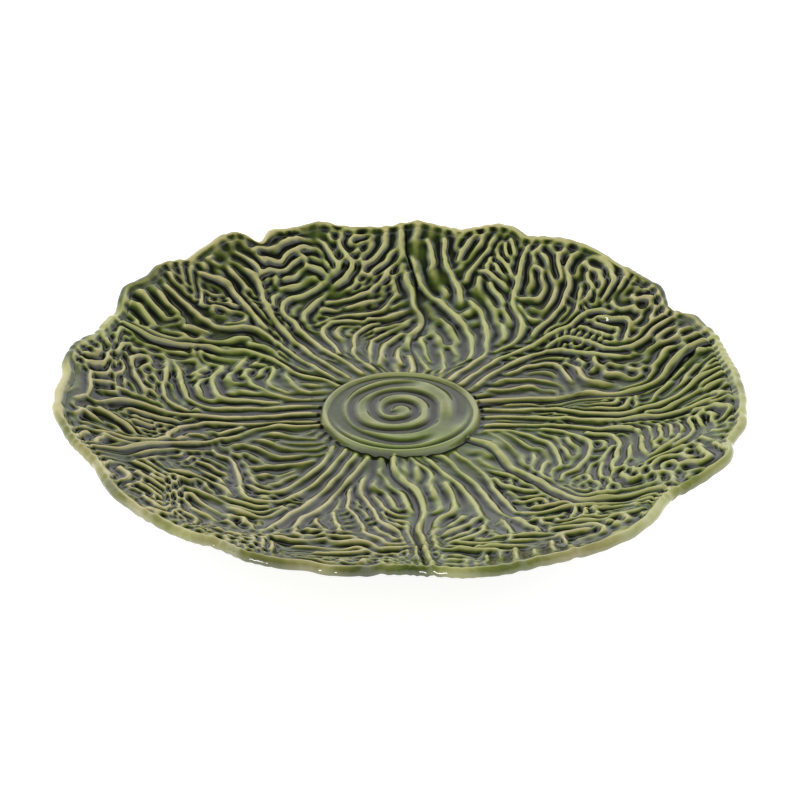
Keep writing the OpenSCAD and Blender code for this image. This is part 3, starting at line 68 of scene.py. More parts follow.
# The clay body: one cast dish of pale earthenware with a flat well, a wall that rises faster
# towards the rim, and a rolled, scalloped lip. Its outline and its waves are read off the
# solid dish, and its form is lathed and smoothed, with the roll pinched here and there.
WELL_R = 0.066
PLATE_R = 0.140
RIM_Z = 0.0286
WELL_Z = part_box("stem_disc")[0].z
WALL_T = WELL_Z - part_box("foot_ring")[1].z
RISE = RIM_Z - WELL_Z
RISE_POWER = 1.7
LIP_W = 0.005
LIP_H = 0.0009
FOOT_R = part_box("foot_ring")[1].x
WALL_FROM = 1.2 * WELL_R
STATIONS = 120


def plain_wall(r):
    """Height of the wall's upper face without its waves."""
    t = np.maximum(r - WELL_R, 0) / (PLATE_R - WELL_R)
    return WELL_Z + RISE * t**RISE_POWER


def ease(t):
    """0 up to 0, 1 from 1, and a soft rise between."""
    t = np.clip(t, 0, 1)
    return t * t * (3 - 2 * t)


def corners_of(obj):
    """A mesh object's corners, one row of x, y and z for each."""
    co = np.empty(len(obj.data.vertices) * 3, np.float32)
    obj.data.vertices.foreach_get("co", co)
    return co.reshape(-1, 3).astype(float)


def read_outline():
    """Radius of the dish's edge, and how far its lip waves over the plain wall, at each station."""
    co = corners_of(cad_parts["dish"])
    r = np.hypot(co[:, 0], co[:, 1])
    turned = np.degrees(np.arctan2(co[:, 1], co[:, 0]))
    station = np.round(turned * STATIONS / 360).astype(int) % STATIONS
    edge, wave = np.zeros(STATIONS), np.zeros(STATIONS)
    for i in range(STATIONS):
        here = station == i
        edge[i] = r[here].max()
        top = np.argmax(np.where(here & (r > WALL_FROM), co[:, 2], -1))
        wave[i] = co[top, 2] - LIP_H - plain_wall(r[top])
    return edge, wave


def around(values, angle):
    """Values at even steps round the plate, read at any angle by a cubic through four of them."""
    n = len(values)
    place = np.asarray(angle) / (2 * math.pi) * n
    i = np.floor(place).astype(int)
    t = place - i
    a, b, c, d = (values[(i + k) % n] for k in (-1, 0, 1, 2))
    return b + t / 2 * (c - a + t * (2 * a - 5 * b + 4 * c - d + t * (3 * (b - c) + d - a)))


EDGE_R, EDGE_WAVE = read_outline()


def wall_height(r, angle):
    """Height of the wall's upper face, with the waves of the rim fading out towards the well."""
    return plain_wall(r) + around(EDGE_WAVE, angle) * ease((r - WELL_R) / (PLATE_R - WELL_R))


# The relief of the leaves: cabbage leaf ribs pressed in the mould, each a rounded ridge, with a
# fine savoy crinkle between them, and a raised edge with a deep groove where leaves overlap.
# Ridges grow at an even spacing from the solid ribs, as wrinkles in a leaf do.
GRID = 0.0004
GRID_HALF = 0.152
GRID_N = int(round(2 * GRID_HALF / GRID))
RIB_TOP = 0.0013
SEAT_GAP = 0.0003
UPRIGHT = 1e-10
ON_EDGE = 1e-6
axis_m = (np.arange(GRID_N) + 0.5) * GRID - GRID_HALF
GRID_X, GRID_Y = np.meshgrid(axis_m, axis_m)
GRID_R = np.hypot(GRID_X, GRID_Y)
GRID_A = np.arctan2(GRID_Y, GRID_X)
WAVE_KX, WAVE_KY = np.meshgrid(np.fft.rfftfreq(GRID_N, GRID), np.fft.fftfreq(GRID_N, GRID))
WAVE_K = np.hypot(WAVE_KX, WAVE_KY)


def blur(field, width, waves=WAVE_K):
    """A soft copy of a field on a grid, spread over a width in metres."""
    soften = np.exp(-2 * (math.pi * waves * width) ** 2)
    return np.fft.irfft2(np.fft.rfft2(field) * soften, s=field.shape)


def stamp(obj):
    """Height of a solid's top over each place of the grid, or 0 where it has none."""
    field = np.zeros((GRID_N, GRID_N))
    mesh = obj.data
    mesh.calc_loop_triangles()
    tri = np.empty(len(mesh.loop_triangles) * 3, np.int32)
    mesh.loop_triangles.foreach_get("vertices", tri)
    co = corners_of(obj)[tri.reshape(-1, 3)]
    span = np.stack([co[:, 1] - co[:, 0], co[:, 2] - co[:, 0]], 1)
    area = span[:, 0, 0] * span[:, 1, 1] - span[:, 0, 1] * span[:, 1, 0]
    for corner, s, twice in zip(co, span, area):
        if twice < UPRIGHT:
            continue
        low = np.floor((corner[:, :2].min(0) + GRID_HALF) / GRID).astype(int)
        high = np.ceil((corner[:, :2].max(0) + GRID_HALF) / GRID).astype(int) + 1
        x, y = np.meshgrid(axis_m[low[0]:high[0]] - corner[0, 0],
                           axis_m[low[1]:high[1]] - corner[0, 1])
        u = (x * s[1, 1] - y * s[1, 0]) / twice
        v = (y * s[0, 0] - x * s[0, 1]) / twice
        z = corner[0, 2] + u * s[0, 2] + v * s[1, 2]
        z = np.where((u > -ON_EDGE) & (v > -ON_EDGE) & (u + v < 1 + ON_EDGE), z, 0)
        patch = field[low[1]:high[1], low[0]:high[0]]
        np.maximum(patch, z, out=patch)
    return field


LEAVES = 6
GRID_WALL = wall_height(GRID_R, GRID_A)
leaf_tops = [stamp(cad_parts[f"leaf_{k}_ribs"]) - GRID_WALL - SEAT_GAP
             for k in range(1, LEAVES + 1)]
RIBS = np.clip(np.max(leaf_tops, 0), 0, None)

# Where the leaves part: along each raised edge, a groove's width to its clockwise side
SEAM_MIN = 0.00155
SEAM_STRAY = 0.006
SEAM_RING = 0.0012
SEAM_SPOTS = 3
SEAM_EVEN = 3
GROOVE_ASIDE = 0.0030
BORDER_R = np.arange(0.028, 0.156, 0.001)


def border_angles(k):
    """Angle of the groove between leaf k and the next at each radius of BORDER_R, and its slant."""
    on = leaf_tops[k % LEAVES] > SEAM_MIN
    r, a = GRID_R[on], GRID_A[on]
    last = a[np.argmin(r)]
    angle, known = np.zeros_like(BORDER_R), np.zeros(len(BORDER_R), bool)
    for i, radius in enumerate(BORDER_R):
        off = (a - last + math.pi) % (2 * math.pi) - math.pi
        here = (np.abs(r - radius) < SEAM_RING) & (np.abs(off) * r < SEAM_STRAY)
        known[i] = here.sum() > SEAM_SPOTS
        if known[i]:
            last = last + off[here].mean()
        angle[i] = last
    angle[: np.argmax(known)] = angle[np.argmax(known)]
    spread = 2 * SEAM_EVEN + 1
    angle = np.convolve(np.pad(angle, SEAM_EVEN, "edge"), np.ones(spread) / spread, "valid")
    slant = BORDER_R * np.gradient(angle, BORDER_R)
    stretch = np.sqrt(1 + slant**2)
    return angle - GROOVE_ASIDE * stretch / BORDER_R, stretch


BORDERS = [border_angles(k) for k in range(1, LEAVES + 1)]


def from_border(k, r, a):
    """Distance from the groove between leaf k and the next: positive on the next leaf's side."""
    angle, stretch = BORDERS[k - 1]
    off = (a - np.interp(r, BORDER_R, angle) + math.pi) % (2 * math.pi) - math.pi
    return r * off / np.interp(r, BORDER_R, stretch)


def soft_line(off, half_width, power=2):
    """1 along a line and 0 away from it, from the distance to its middle."""
    return np.exp(-((off / half_width) ** power))


GROOVE_W = 0.0005
GROOVE_DEEP = 0.0006
EDGE_W = 0.0009
EDGE_BACK = 0.0007
EDGE_CLEAR = 0.0021
STEP_H = 0.0006
STEP_W = 0.014
STEP_RISE = 0.0015
groove = np.zeros_like(GRID_R)
edge_line = np.zeros_like(GRID_R)
off_edge = np.ones_like(GRID_R)
step_up = np.zeros_like(GRID_R)
for k in range(1, LEAVES + 1):
    d = from_border(k, GRID_R, GRID_A)
    groove = np.maximum(groove, soft_line(d, GROOVE_W))
    edge_line = np.maximum(edge_line, soft_line(d - GROOVE_ASIDE + EDGE_BACK, EDGE_W))
    off_edge *= 1 - soft_line(d - GROOVE_ASIDE, EDGE_CLEAR, power=4)
    step_up += STEP_H * ease(d / STEP_RISE + 0.5) * np.exp(-np.maximum(d, 0) / STEP_W)


def sample(field, x, y, half=GRID_HALF, cell=GRID):
    """A grid field read at any place, smoothly between its middles."""
    u = (np.asarray(x) + half) / cell - 0.5
    v = (np.asarray(y) + half) / cell - 0.5
    i = np.clip(np.floor(u).astype(int), 0, len(field) - 2)
    j = np.clip(np.floor(v).astype(int), 0, len(field) - 2)
    s, t = u - i, v - j
    low = field[j, i] * (1 - s) + field[j, i + 1] * s
    high = field[j + 1, i] * (1 - s) + field[j + 1, i + 1] * s
    return low * (1 - t) + high * t


# Wrinkles that grow between the ribs: those of the right spacing grow, and the ribs hold theirs.
# They grow on ground that is stretched here and drawn in there, which makes them coarse and fine.
WRINKLE = 0.0047
GROW_STEPS = 90
GROW_PACE = 0.5
GROWTH = 0.32
GROWN_MOST = 1.5
START = 0.15
START_SPREAD = 0.0012
BREAK_UP = 0.8
BREAK_IN = 0.25
BREAK_OUT = 0.8
HOLD = 1.8
HELD_HIGH = 0.85
HELD_LOW = -0.8
HELD_START = 0.9
GROOVE_HOLD = 1.2
GROOVE_FROM = 0.35
RIB_BLUR = 0.0003
EDGE_SHARE = 0.9
WOBBLE = 0.0003
WOBBLE_SPREAD = 0.0024
STRETCH = 0.0046
STRETCH_SPREAD = 0.011
UNSTRETCH_STEPS = 8
INNER_R = 0.05
INNER_FADE = 0.06
COMBED_R = 0.046
COMBED_FADE = 0.016
COMBED = 0.45
COMB = 0.0014
SEED = 7
rng = np.random.default_rng(SEED)


def soft_noise(spread):
    """Even noise over the grid, of the given spread, with a deviation of 1."""
    noise = blur(rng.standard_normal(GRID_R.shape), spread)
    return noise / noise.std()


def patchy(mean, swing, spread, low, high):
    """A share that goes up and down in soft patches over the plate, kept between two values."""
    return np.clip(mean + swing * soft_noise(spread), low, high)


def part_way(value, start, over):
    """0 where a value is at its start, 1 once it is over it by as much as is given."""
    return np.clip((value - start) / over, 0, 1)


stretch_x, stretch_y = (STRETCH * soft_noise(STRETCH_SPREAD) for _ in "xy")
ground_x, ground_y = GRID_X + stretch_x, GRID_Y + stretch_y
wobble_x, wobble_y = (WOBBLE * soft_noise(WOBBLE_SPREAD) for _ in "xy")
edge_line *= patchy(mean=0.85, swing=0.3, spread=0.005, low=0.35, high=1)
ribs = np.maximum(blur(RIBS, RIB_BLUR) * off_edge, EDGE_SHARE * RIB_TOP * edge_line)
ribs = sample(np.minimum(ribs, RIB_TOP), GRID_X + wobble_x, GRID_Y + wobble_y)
pins = np.clip(ribs / RIB_TOP, 0, 1)
crests = part_way(pins, start=0.2, over=0.5)
held = sample(np.clip(crests + groove * GROOVE_HOLD, 0, 1), ground_x, ground_y)
target = np.where(sample(groove, ground_x, ground_y) > GROOVE_FROM, HELD_LOW, HELD_HIGH)
wrinkle = HELD_START * held * target + START * soft_noise(START_SPREAD)
outwards = ease((GRID_R - INNER_R) / INNER_FADE)
uneven = BREAK_UP * patchy(BREAK_IN + BREAK_OUT * outwards, swing=0.4, spread=0.007,
                           low=0, high=1.4)
linear = GROWTH - (1 - (WAVE_K * WRINKLE) ** 2) ** 2
combed = COMBED * (1 - ease((GRID_R - COMBED_R) / COMBED_FADE))
cells_near = slice(int((GRID_HALF - COMBED_R - COMBED_FADE) / GRID),
                   int((GRID_HALF + COMBED_R + COMBED_FADE) / GRID))
near = (cells_near, cells_near)
comb_x, comb_y = (COMB * part[near] / np.maximum(GRID_R[near], GRID) for part in (GRID_X, GRID_Y))
for _ in range(GROW_STEPS):
    push = -(wrinkle**3) - uneven * wrinkle**2 + HOLD * held * (target - wrinkle)
    spectrum = np.fft.rfft2(wrinkle + GROW_PACE * push) / (1 - GROW_PACE * linear)
    wrinkle = np.clip(np.fft.irfft2(spectrum, s=wrinkle.shape), -GROWN_MOST, GROWN_MOST)
    drawn = sum(sample(wrinkle, GRID_X[near] + k * comb_x, GRID_Y[near] + k * comb_y)
                for k in (-1, 1)) / 2
    wrinkle[near] += combed[near] * (drawn - wrinkle[near])
back_x, back_y = GRID_X.copy(), GRID_Y.copy()
for _ in range(UNSTRETCH_STEPS):
    shift_x, shift_y = sample(stretch_x, back_x, back_y), sample(stretch_y, back_x, back_y)
    back_x, back_y = GRID_X - shift_x, GRID_Y - shift_y
wrinkle = sample(wrinkle, back_x, back_y)

# The leaves' height over the wall, in metres: crests and valleys, deeper towards the rim where the
# crinkle is coarser, the bolder ribs, the raised edges, and the step up from each leaf to the one
# that overlaps it
RELIEF_IN = 0.0012
RELIEF_OUT = 0.0024
BOLD = 0.0002
EDGE_UP = 0.0002
SOFTEN = 0.00034
BETWEEN = 0.82
ROLLING = 0.00025
ROLLING_SPREAD = 0.005
DEEPER_R = 0.045
DEEPER_FADE = 0.075
FLOOR_AT = 0.8
CREST_OVER = 1.6
CREST_MOST = 1.15
WIDTH_SWING = 0.2
WIDTH_SPREAD = 0.003
SLIMMER_OUT = 0.08
RIB_REACH = 1.6
RIB_SPREAD = 0.0007
BOLD_SPREAD = 0.0008
STEADY_SPREAD = 0.0006
STEADY_RIBS = 0.5
deepen = ease((GRID_R - DEEPER_R) / DEEPER_FADE)
uneven_width = WIDTH_SWING * soft_noise(WIDTH_SPREAD) - SLIMMER_OUT * outwards
ridge = blur(np.clip((wrinkle + FLOOR_AT + uneven_width) / CREST_OVER, 0, CREST_MOST), SOFTEN)
ridge *= BETWEEN + (1 - BETWEEN) * np.clip(blur(crests, RIB_SPREAD) * RIB_REACH, 0, 1)
bold = part_way(blur(pins, BOLD_SPREAD), start=0.35, over=0.35)
fitful = patchy(mean=0.8, swing=0.3, spread=0.0035, low=0.2, high=1.25)
steady = np.clip(blur(pins, STEADY_SPREAD) * RIB_REACH, 0, 1)
fitful += STEADY_RIBS * (1 - fitful) * steady
crest_height = RELIEF_IN + (RELIEF_OUT - RELIEF_IN) * deepen
RELIEF = SEAT_GAP + ROLLING * soft_noise(ROLLING_SPREAD) * deepen
RELIEF += crest_height * ridge * fitful
RELIEF += BOLD * bold
RELIEF += EDGE_UP * edge_line + step_up - GROOVE_DEEP * groove

# Where the glaze runs thin on the crests, and where it pools: in the hollows and on the floors near
# the middle.
# A dark line round the foot of the stem disc is pooled glaze and painted shade under the disc's
# edge
THIN_OVER = ((0.6, 0.0022), (0.9, 0.0011))
THIN_IN = 1.12
THIN_LESS_OUT = 0.22
FLOOR_POOL = 0.0003
FLOOR_LESS_OUT = 0.8
FLOOR_BELOW = 0.3
DISC_FOOT = 0.0334
DISC_FOOT_W = 0.0006
DISC_FOOT_POOL_AND_SHADE = 0.0009
THIN_AND_SHADE = sum(share * (RELIEF - blur(RELIEF, width)) for share, width in THIN_OVER)
THIN_AND_SHADE *= THIN_IN - THIN_LESS_OUT * deepen
THIN_AND_SHADE -= FLOOR_POOL * (1 - FLOOR_LESS_OUT * deepen) * (1 - np.clip(ridge / FLOOR_BELOW, 0, 1))
# Painted shade: a dark line round the foot of the stem disc, with the glaze that pools there
THIN_AND_SHADE -= DISC_FOOT_POOL_AND_SHADE * soft_line(GRID_R - DISC_FOOT, DISC_FOOT_W)


class Wire:
    """One socket of a node, so that sums on values read as sums."""

    def __init__(self, bench, socket):
        self.bench, self.socket = bench, socket

    def sum(self, operation, first, second):
        return self.bench.node("ShaderNodeMath", {"operation": operation}, {0: first, 1: second})

    def __add__(self, other):
        return self.sum("ADD", self, other)

    def __sub__(self, other):
        return self.sum("SUBTRACT", self, other)

    def __rsub__(self, other):
        return self.sum("SUBTRACT", other, self)

    def __mul__(self, other):
        return self.sum("MULTIPLY", self, other)

    def __truediv__(self, other):
        return self.sum("DIVIDE", self, other)

    def __rtruediv__(self, other):
        return self.sum("DIVIDE", other, self)

    def __pow__(self, other):
        return self.sum("POWER", self, other)

    __radd__ = __add__
    __rmul__ = __mul__

    def above(self, other):
        return self.sum("MAXIMUM", self, other)

    def below(self, other):
        return self.sum("MINIMUM", self, other)

    def between(self, low, high):
        """0 up to low, 1 from high, and an even soft rise between."""
        return self.bench.node("ShaderNodeMapRange", {"interpolation_type": "SMOOTHSTEP"}, {
            "Value": self, "From Min": low, "From Max": high, "To Min": 0.0, "To Max": 1.0})


class Bench:
    """A node tree in the making: node() adds one node, its settings first, then its sockets."""

    def __init__(self, tree):
        self.tree = tree
        tree.nodes.clear()

    def node(self, kind, settings=None, sockets=None, out=0):
        new = self.tree.nodes.new(kind)
        for name, value in (settings or {}).items():
            if name == "stops":
                self.set_stops(new.color_ramp, value)
            else:
                setattr(new, name, value)
        for name, value in (sockets or {}).items():
            if isinstance(value, Wire):
                self.tree.links.new(value.socket, new.inputs[name])
            else:
                new.inputs[name].default_value = value
        return Wire(self, new.outputs[out]) if len(new.outputs) else new

    def set_stops(self, ramp, stops):
        while len(ramp.elements) < len(stops):
            ramp.elements.new(0.5)
        for element, (place, colour) in zip(ramp.elements, stops):
            element.position = place
            element.color = (*colour, 1)

    def mix(self, share, first, second, blend="MIX"):
        """Two colours mixed. Some of the node's sockets share a name, so they go by number."""
        first, second = ((*c, 1) if isinstance(c, tuple) else c for c in (first, second))
        return self.node("ShaderNodeMix", {"data_type": "RGBA", "blend_type": blend},
                         {0: share, 6: first, 7: second}, out=2)

    def ramp(self, value, *stops):
        return self.node("ShaderNodeValToRGB", {"stops": stops}, {"Fac": value})

    def noise(self, place, scale, detail=3.0, rough=0.5):
        return self.node("ShaderNodeTexNoise", {}, {
            "Vector": place, "Scale": scale, "Detail": detail, "Roughness": rough})


def srgb(*parts):
    """A colour as it is seen on screen, given in 0 to 255, in the light's own measure."""
    return tuple((c / 255 / 12.92) if c <= 10 else ((c / 255 + 0.055) / 1.055) ** 2.4
                 for c in parts)


RUN_SHARE = 0.3
PATCH_SHARE = 0.25
FINE_SHARE = 0.15
NOISE_MIDDLE = 0.5
DEEP_POOL = 0.3
GREENER = (0.72, 0.95, 0.55)
GREENER_SHARE = 0.5
GREENER_BETWEEN = (0.42, 0.62)
GLAZE_ROUGH = 0.06
GLAZE_IOR = 1.72


def glaze(name, pool, slope, brow, crest, thin_low, thin_high):
    """Clear green lead glaze over pale clay: dark where it pools, pale where it runs off crests."""
    material = bpy.data.materials.new(name)
    material.use_nodes = True
    bench = Bench(material.node_tree)
    place = bench.node("ShaderNodeTexCoord", out="Object")
    # The attribute holds how thin the glaze is, with painted shade added in places: round the foot
    # of the stem disc, and over the disc's bead and down its side
    thin = bench.node("ShaderNodeAttribute", {"attribute_name": "thin"}, out="Fac")
    run = bench.noise(place, scale=38.0, detail=3.0, rough=0.55)
    patch = bench.noise(place, scale=13.0, detail=2.0)
    fine = bench.noise(place, scale=420.0, detail=2.0)
    share = (thin - thin_low) / (thin_high - thin_low)
    for noise, swing in ((run, RUN_SHARE), (patch, PATCH_SHARE), (fine, FINE_SHARE)):
        share = share + (noise - NOISE_MIDDLE) * swing
    deepest = tuple(c * DEEP_POOL for c in pool)
    body = bench.ramp(share, (0.03, deepest), (0.2, pool), (0.46, slope),
                      (0.66, brow), (0.92, crest))
    greener = patch.between(*GREENER_BETWEEN) * GREENER_SHARE
    body = bench.mix(greener, body, GREENER, blend="MULTIPLY")
    ripple = bench.noise(place, scale=260.0, detail=2.0)
    bump = bench.node("ShaderNodeBump", {}, {
        "Strength": 0.15, "Distance": 0.0004, "Height": ripple})
    shader = bench.node("ShaderNodeBsdfPrincipled", {}, {
        "Base Color": body, "Roughness": GLAZE_ROUGH, "IOR": GLAZE_IOR, "Normal": bump})
    bench.node("ShaderNodeOutputMaterial", {}, {"Surface": shader})
    return material


leaf_glaze = glaze("leaf_glaze", pool=srgb(15, 22, 3), slope=srgb(64, 75, 27),
                   brow=srgb(126, 127, 70), crest=srgb(187, 178, 129),
                   thin_low=-0.00078, thin_high=0.0009)


def solid_from(name, points, face_groups, attributes):
    """A mesh object at the origin: corners, groups of like faces, and values at its corners.

    The first group is smooth. The others are flat, so that they don't bend its shading."""
    mesh = bpy.data.meshes.new(name)
    sizes = np.concatenate([np.full(len(g), g.shape[1], np.int32) for g in face_groups])
    corners = np.concatenate([np.asarray(g, np.int32).ravel() for g in face_groups])
    mesh.vertices.add(len(points))
    mesh.vertices.foreach_set("co", np.asarray(points, np.float32).ravel())
    mesh.loops.add(len(corners))
    mesh.loops.foreach_set("vertex_index", corners)
    mesh.polygons.add(len(sizes))
    mesh.polygons.foreach_set("loop_start", (np.cumsum(sizes) - sizes).astype(np.int32))
    mesh.update(calc_edges=True)
    is_flat = np.arange(len(sizes)) >= len(face_groups[0])
    mesh.attributes.new("sharp_face", "BOOLEAN", "FACE").data.foreach_set("value", is_flat)
    for key, values in attributes.items():
        layer = mesh.attributes.new(key, "FLOAT", "POINT")
        layer.data.foreach_set("value", np.asarray(values, np.float32).ravel())
    mesh.validate()
    obj = bpy.data.objects.new(name, mesh)
    bpy.context.scene.collection.objects.link(obj)
    return obj


def round_axis(r, a, z):
    """Corners from their distance to the plate's axis, their angle round it and their height."""
    return np.stack([r * np.cos(a), r * np.sin(a), z], -1)


def quads(rows, columns, start=0, closed=False):
    """Faces over a grid of corners, looking up where rows run outwards and columns turn left."""
    across = columns if closed else columns - 1
    i, j = np.meshgrid(np.arange(rows - 1), np.arange(across), indexing="ij")
    a = i * columns + j
    b = i * columns + (j + 1) % columns
    return (start + np.stack([a, a + columns, b + columns, b], -1)).reshape(-1, 4)


# The lip is a roll of clay whose inner flank rises from the wall and carries the last of the ribs
LIP_FLANK = 1.15
LIP_CREST = 0.56
RIB_END = 0.0006
RIB_FADE = 0.0036
LIP_RIBS = 0.42


def lip_form(inside):
    """Height of the lip's crest and inner flank over the wall, at a distance inside the edge."""
    share = np.clip((inside / LIP_W - LIP_CREST) / (LIP_FLANK - LIP_CREST), 0, 1)
    return LIP_H * np.cos(share * math.pi / 2) ** 2


def over_wall(r, a):
    """Height over the wall of the finished upper face, where the leaves fade into the lip."""
    inside = around(EDGE_R, a) - r
    fade = ease((inside - LIP_CREST * LIP_W - RIB_END) / RIB_FADE)
    ribs = sample(RELIEF, r * np.cos(a), r * np.sin(a))
    return ribs * (LIP_RIBS + (1 - LIP_RIBS) * fade) + lip_form(inside)


# The leaf sheets: cells a third of a millimetre deep, and a coarse underside sunk in the wall
COARSE = 8
ROWS = 39 * COARSE + 1
COLUMNS = 37 * COARSE + 1
LEAF_INNER = 0.0305
LEAF_UNDER = 0.0013
TUCK_W = 0.0012
TUCK_DEEP = 0.0006
SETTLE_STEPS = 4


def lay_leaf_tree():
    """Nodes that lay a flat leaf on the dish's wall and raise its relief square to the wall."""
    tree = bpy.data.node_groups.new("lay_leaf", "GeometryNodeTree")
    face = tree.interface
    face.new_socket("Leaf", in_out="INPUT", socket_type="NodeSocketGeometry")
    for name, value in (("Well radius", WELL_R), ("Plate radius", PLATE_R), ("Well height", WELL_Z),
                        ("Rise", RISE), ("Rise power", RISE_POWER), ("Relief scale", 1.0)):
        face.new_socket(name, in_out="INPUT", socket_type="NodeSocketFloat").default_value = value
    face.new_socket("Glaze", in_out="INPUT", socket_type="NodeSocketMaterial")
    face.new_socket("Leaf", in_out="OUTPUT", socket_type="NodeSocketGeometry")
    bench = Bench(tree)
    given = tree.nodes.new("NodeGroupInput")
    take = {s.name: Wire(bench, s) for s in given.outputs if s.name}
    wave, relief = (bench.node("GeometryNodeInputNamedAttribute", {"data_type": "FLOAT"},
                               {"Name": name}) for name in ("wave", "relief"))
    place = bench.node("GeometryNodeInputPosition")
    radius = bench.node("ShaderNodeVectorMath", {"operation": "LENGTH"}, {0: place},
                        out="Value")
    span = take["Plate radius"] - take["Well radius"]
    t = ((radius - take["Well radius"]) / span).above(0.0)
    rise = take["Rise"] * t ** take["Rise power"]
    slope = take["Rise"] * take["Rise power"] / span * t ** (take["Rise power"] - 1.0)
    rest = t.below(1.0)
    height = take["Well height"] + rise + wave * rest * rest * (3.0 - 2.0 * rest)
    outward = bench.node("ShaderNodeVectorMath", {"operation": "NORMALIZE"}, {0: place})
    lean = bench.node("ShaderNodeVectorMath", {"operation": "SCALE"},
                      {0: outward, "Scale": 0.0 - slope})
    normal = bench.node("ShaderNodeVectorMath", {"operation": "ADD"}, {0: lean, 1: (0.0, 0.0, 1.0)})
    unit = bench.node("ShaderNodeVectorMath", {"operation": "NORMALIZE"}, {0: normal})
    lift = bench.node("ShaderNodeVectorMath", {"operation": "SCALE"},
                      {0: unit, "Scale": relief * take["Relief scale"]})
    up = bench.node("ShaderNodeCombineXYZ", {}, {"Z": height})
    offset = bench.node("ShaderNodeVectorMath", {"operation": "ADD"}, {0: lift, 1: up})
    laid = bench.node("GeometryNodeSetPosition", {}, {"Geometry": take["Leaf"], "Offset": offset})
    real = bench.node("GeometryNodeRealizeInstances", {}, {0: laid})
    glazed = bench.node("GeometryNodeSetMaterial", {}, {
        "Geometry": real, "Material": take["Glaze"]})
    bench.node("NodeGroupOutput", {}, {0: glazed})
    return tree


def made_plain(obj, tree, values):
    """The object with the tree's result as its own plain mesh, and no modifier left on it."""
    modifier = obj.modifiers.new("form", "NODES")
    modifier.node_group = tree
    for item in tree.interface.items_tree:
        if item.in_out == "INPUT" and item.name in values:
            modifier[item.identifier] = values[item.name]
    evaluated = obj.evaluated_get(bpy.context.evaluated_depsgraph_get())
    mesh = bpy.data.meshes.new_from_object(evaluated)
    obj.modifiers.remove(modifier)
    flat = obj.data
    obj.data = mesh
    bpy.data.meshes.remove(flat)
    mesh.name = obj.name
    return obj


lay_leaf = lay_leaf_tree()


def closing_faces(low_start):
    """Three-cornered faces from the fine edge of the upper sheet to the coarse lower one's edge."""
    def edge_corners(rows, columns, start):
        i = np.concatenate([np.arange(rows - 1), np.full(columns - 1, rows - 1),
                            np.arange(rows - 1, 0, -1), np.zeros(columns - 1, int)])
        j = np.concatenate([np.zeros(rows - 1, int), np.arange(columns - 1),
                            np.full(rows - 1, columns - 1), np.arange(columns - 1, 0, -1)])
        return start + i * columns + j
    fine = edge_corners(ROWS, COLUMNS, 0)
    low = edge_corners((ROWS - 1) // COARSE + 1, (COLUMNS - 1) // COARSE + 1, low_start)
    step = np.arange(len(fine))
    nearest = low[((step + COARSE // 2) // COARSE) % len(low)]
    fans = np.stack([fine, nearest, np.roll(fine, -1)], -1)
    middles = fine[COARSE // 2::COARSE]
    return np.concatenate([fans, np.stack([middles, low, np.roll(low, -1)], -1)])


def flat_leaf(k):
    """Leaf k as a flat closed shell, its heights kept as values for the nodes to raise."""
    start, end = BORDERS[k - 2][0], BORDERS[k - 1][0]
    end = end + np.where(end < start, 2 * math.pi, 0)
    v = np.linspace(0, 1, ROWS)[:, None] + np.zeros((1, COLUMNS))
    u = np.linspace(0, 1, COLUMNS)[None, :]
    r = LEAF_INNER + (PLATE_R - LEAF_INNER) * v
    for _ in range(SETTLE_STEPS):
        a = np.interp(r, BORDER_R, start) * (1 - u) + np.interp(r, BORDER_R, end) * u
        r = LEAF_INNER + (around(EDGE_R, a) - LIP_W - LEAF_INNER) * v
    tuck = TUCK_DEEP * ease((LIP_W + TUCK_W - around(EDGE_R, a) + r) / TUCK_W)
    raised = over_wall(r, a) - tuck
    low = np.s_[::COARSE, ::COARSE]
    r_all, a_all = (np.concatenate([part.ravel(), part[low].ravel()]) for part in (r, a))
    points = round_axis(r_all, a_all, 0 * r_all)
    low_start = ROWS * COLUMNS
    low_shape = r[low].shape
    faces = [quads(ROWS, COLUMNS), quads(*low_shape, low_start)[:, ::-1], closing_faces(low_start)]
    return solid_from(f"leaf_{k}", points, faces, {
        "relief": np.append(raised, np.full(low_shape, -LEAF_UNDER)),
        "wave": around(EDGE_WAVE, a_all),
        "thin": sample(THIN_AND_SHADE, points[:, 0], points[:, 1])})


for k in range(1, LEAVES + 1):
    leaf = made_plain(flat_leaf(k), lay_leaf, {"Glaze": leaf_glaze})
    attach(leaf, "root")
    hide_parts(f"leaf_{k}_ribs")


# The dish itself, where it shows: the lip rolled over at the rim, its outer side, and the
# smooth underside, all under the same green glaze. Its upper face runs on under the leaves.
BODY_COLUMNS = 720
SUNK = 0.0010
ROLL_TALL = 0.0021
RIM_PALE = 0.00016
LUMP = 0.0004
LUMPS_ROUND = 34.0
LUMP_UP = 0.4
UPPER_STEPS = 14
FLANK_STEPS = 22
ROLL_STEPS = 26
UNDER_STEPS = 16
FLOOR_STEPS = 8
UNDER_FADE = 3
FLOOR_IN = 0.004
FLOOR_R = FOOT_R - FLOOR_IN
turn = np.arange(BODY_COLUMNS) * 2 * math.pi / BODY_COLUMNS
body_edge = around(EDGE_R, turn)
body_wave = around(EDGE_WAVE, turn)
slow = rng.standard_normal(BODY_COLUMNS)
spectrum = np.fft.rfft(slow) * soft_line(np.arange(BODY_COLUMNS // 2 + 1), LUMPS_ROUND)
lumps = np.fft.irfft(spectrum, BODY_COLUMNS)
lumps *= LUMP / lumps.std()


def at_height(r, over):
    """Corners round the dish at a radius, a height over the wall's upper face there."""
    z = plain_wall(r) + body_wave * ease((r - WELL_R) / (PLATE_R - WELL_R)) + over
    return round_axis(r, turn, z)


def end_faces(rows, columns):
    """Three-cornered faces from a turned form's first and last rows to its two middle corners."""
    first = np.arange(columns)
    last = (rows - 1) * columns + first
    middle = np.full(columns, rows * columns)
    return np.concatenate([np.stack([first, np.roll(first, -1), middle], -1),
                           np.stack([np.roll(last, -1), last, middle + 1], -1)])


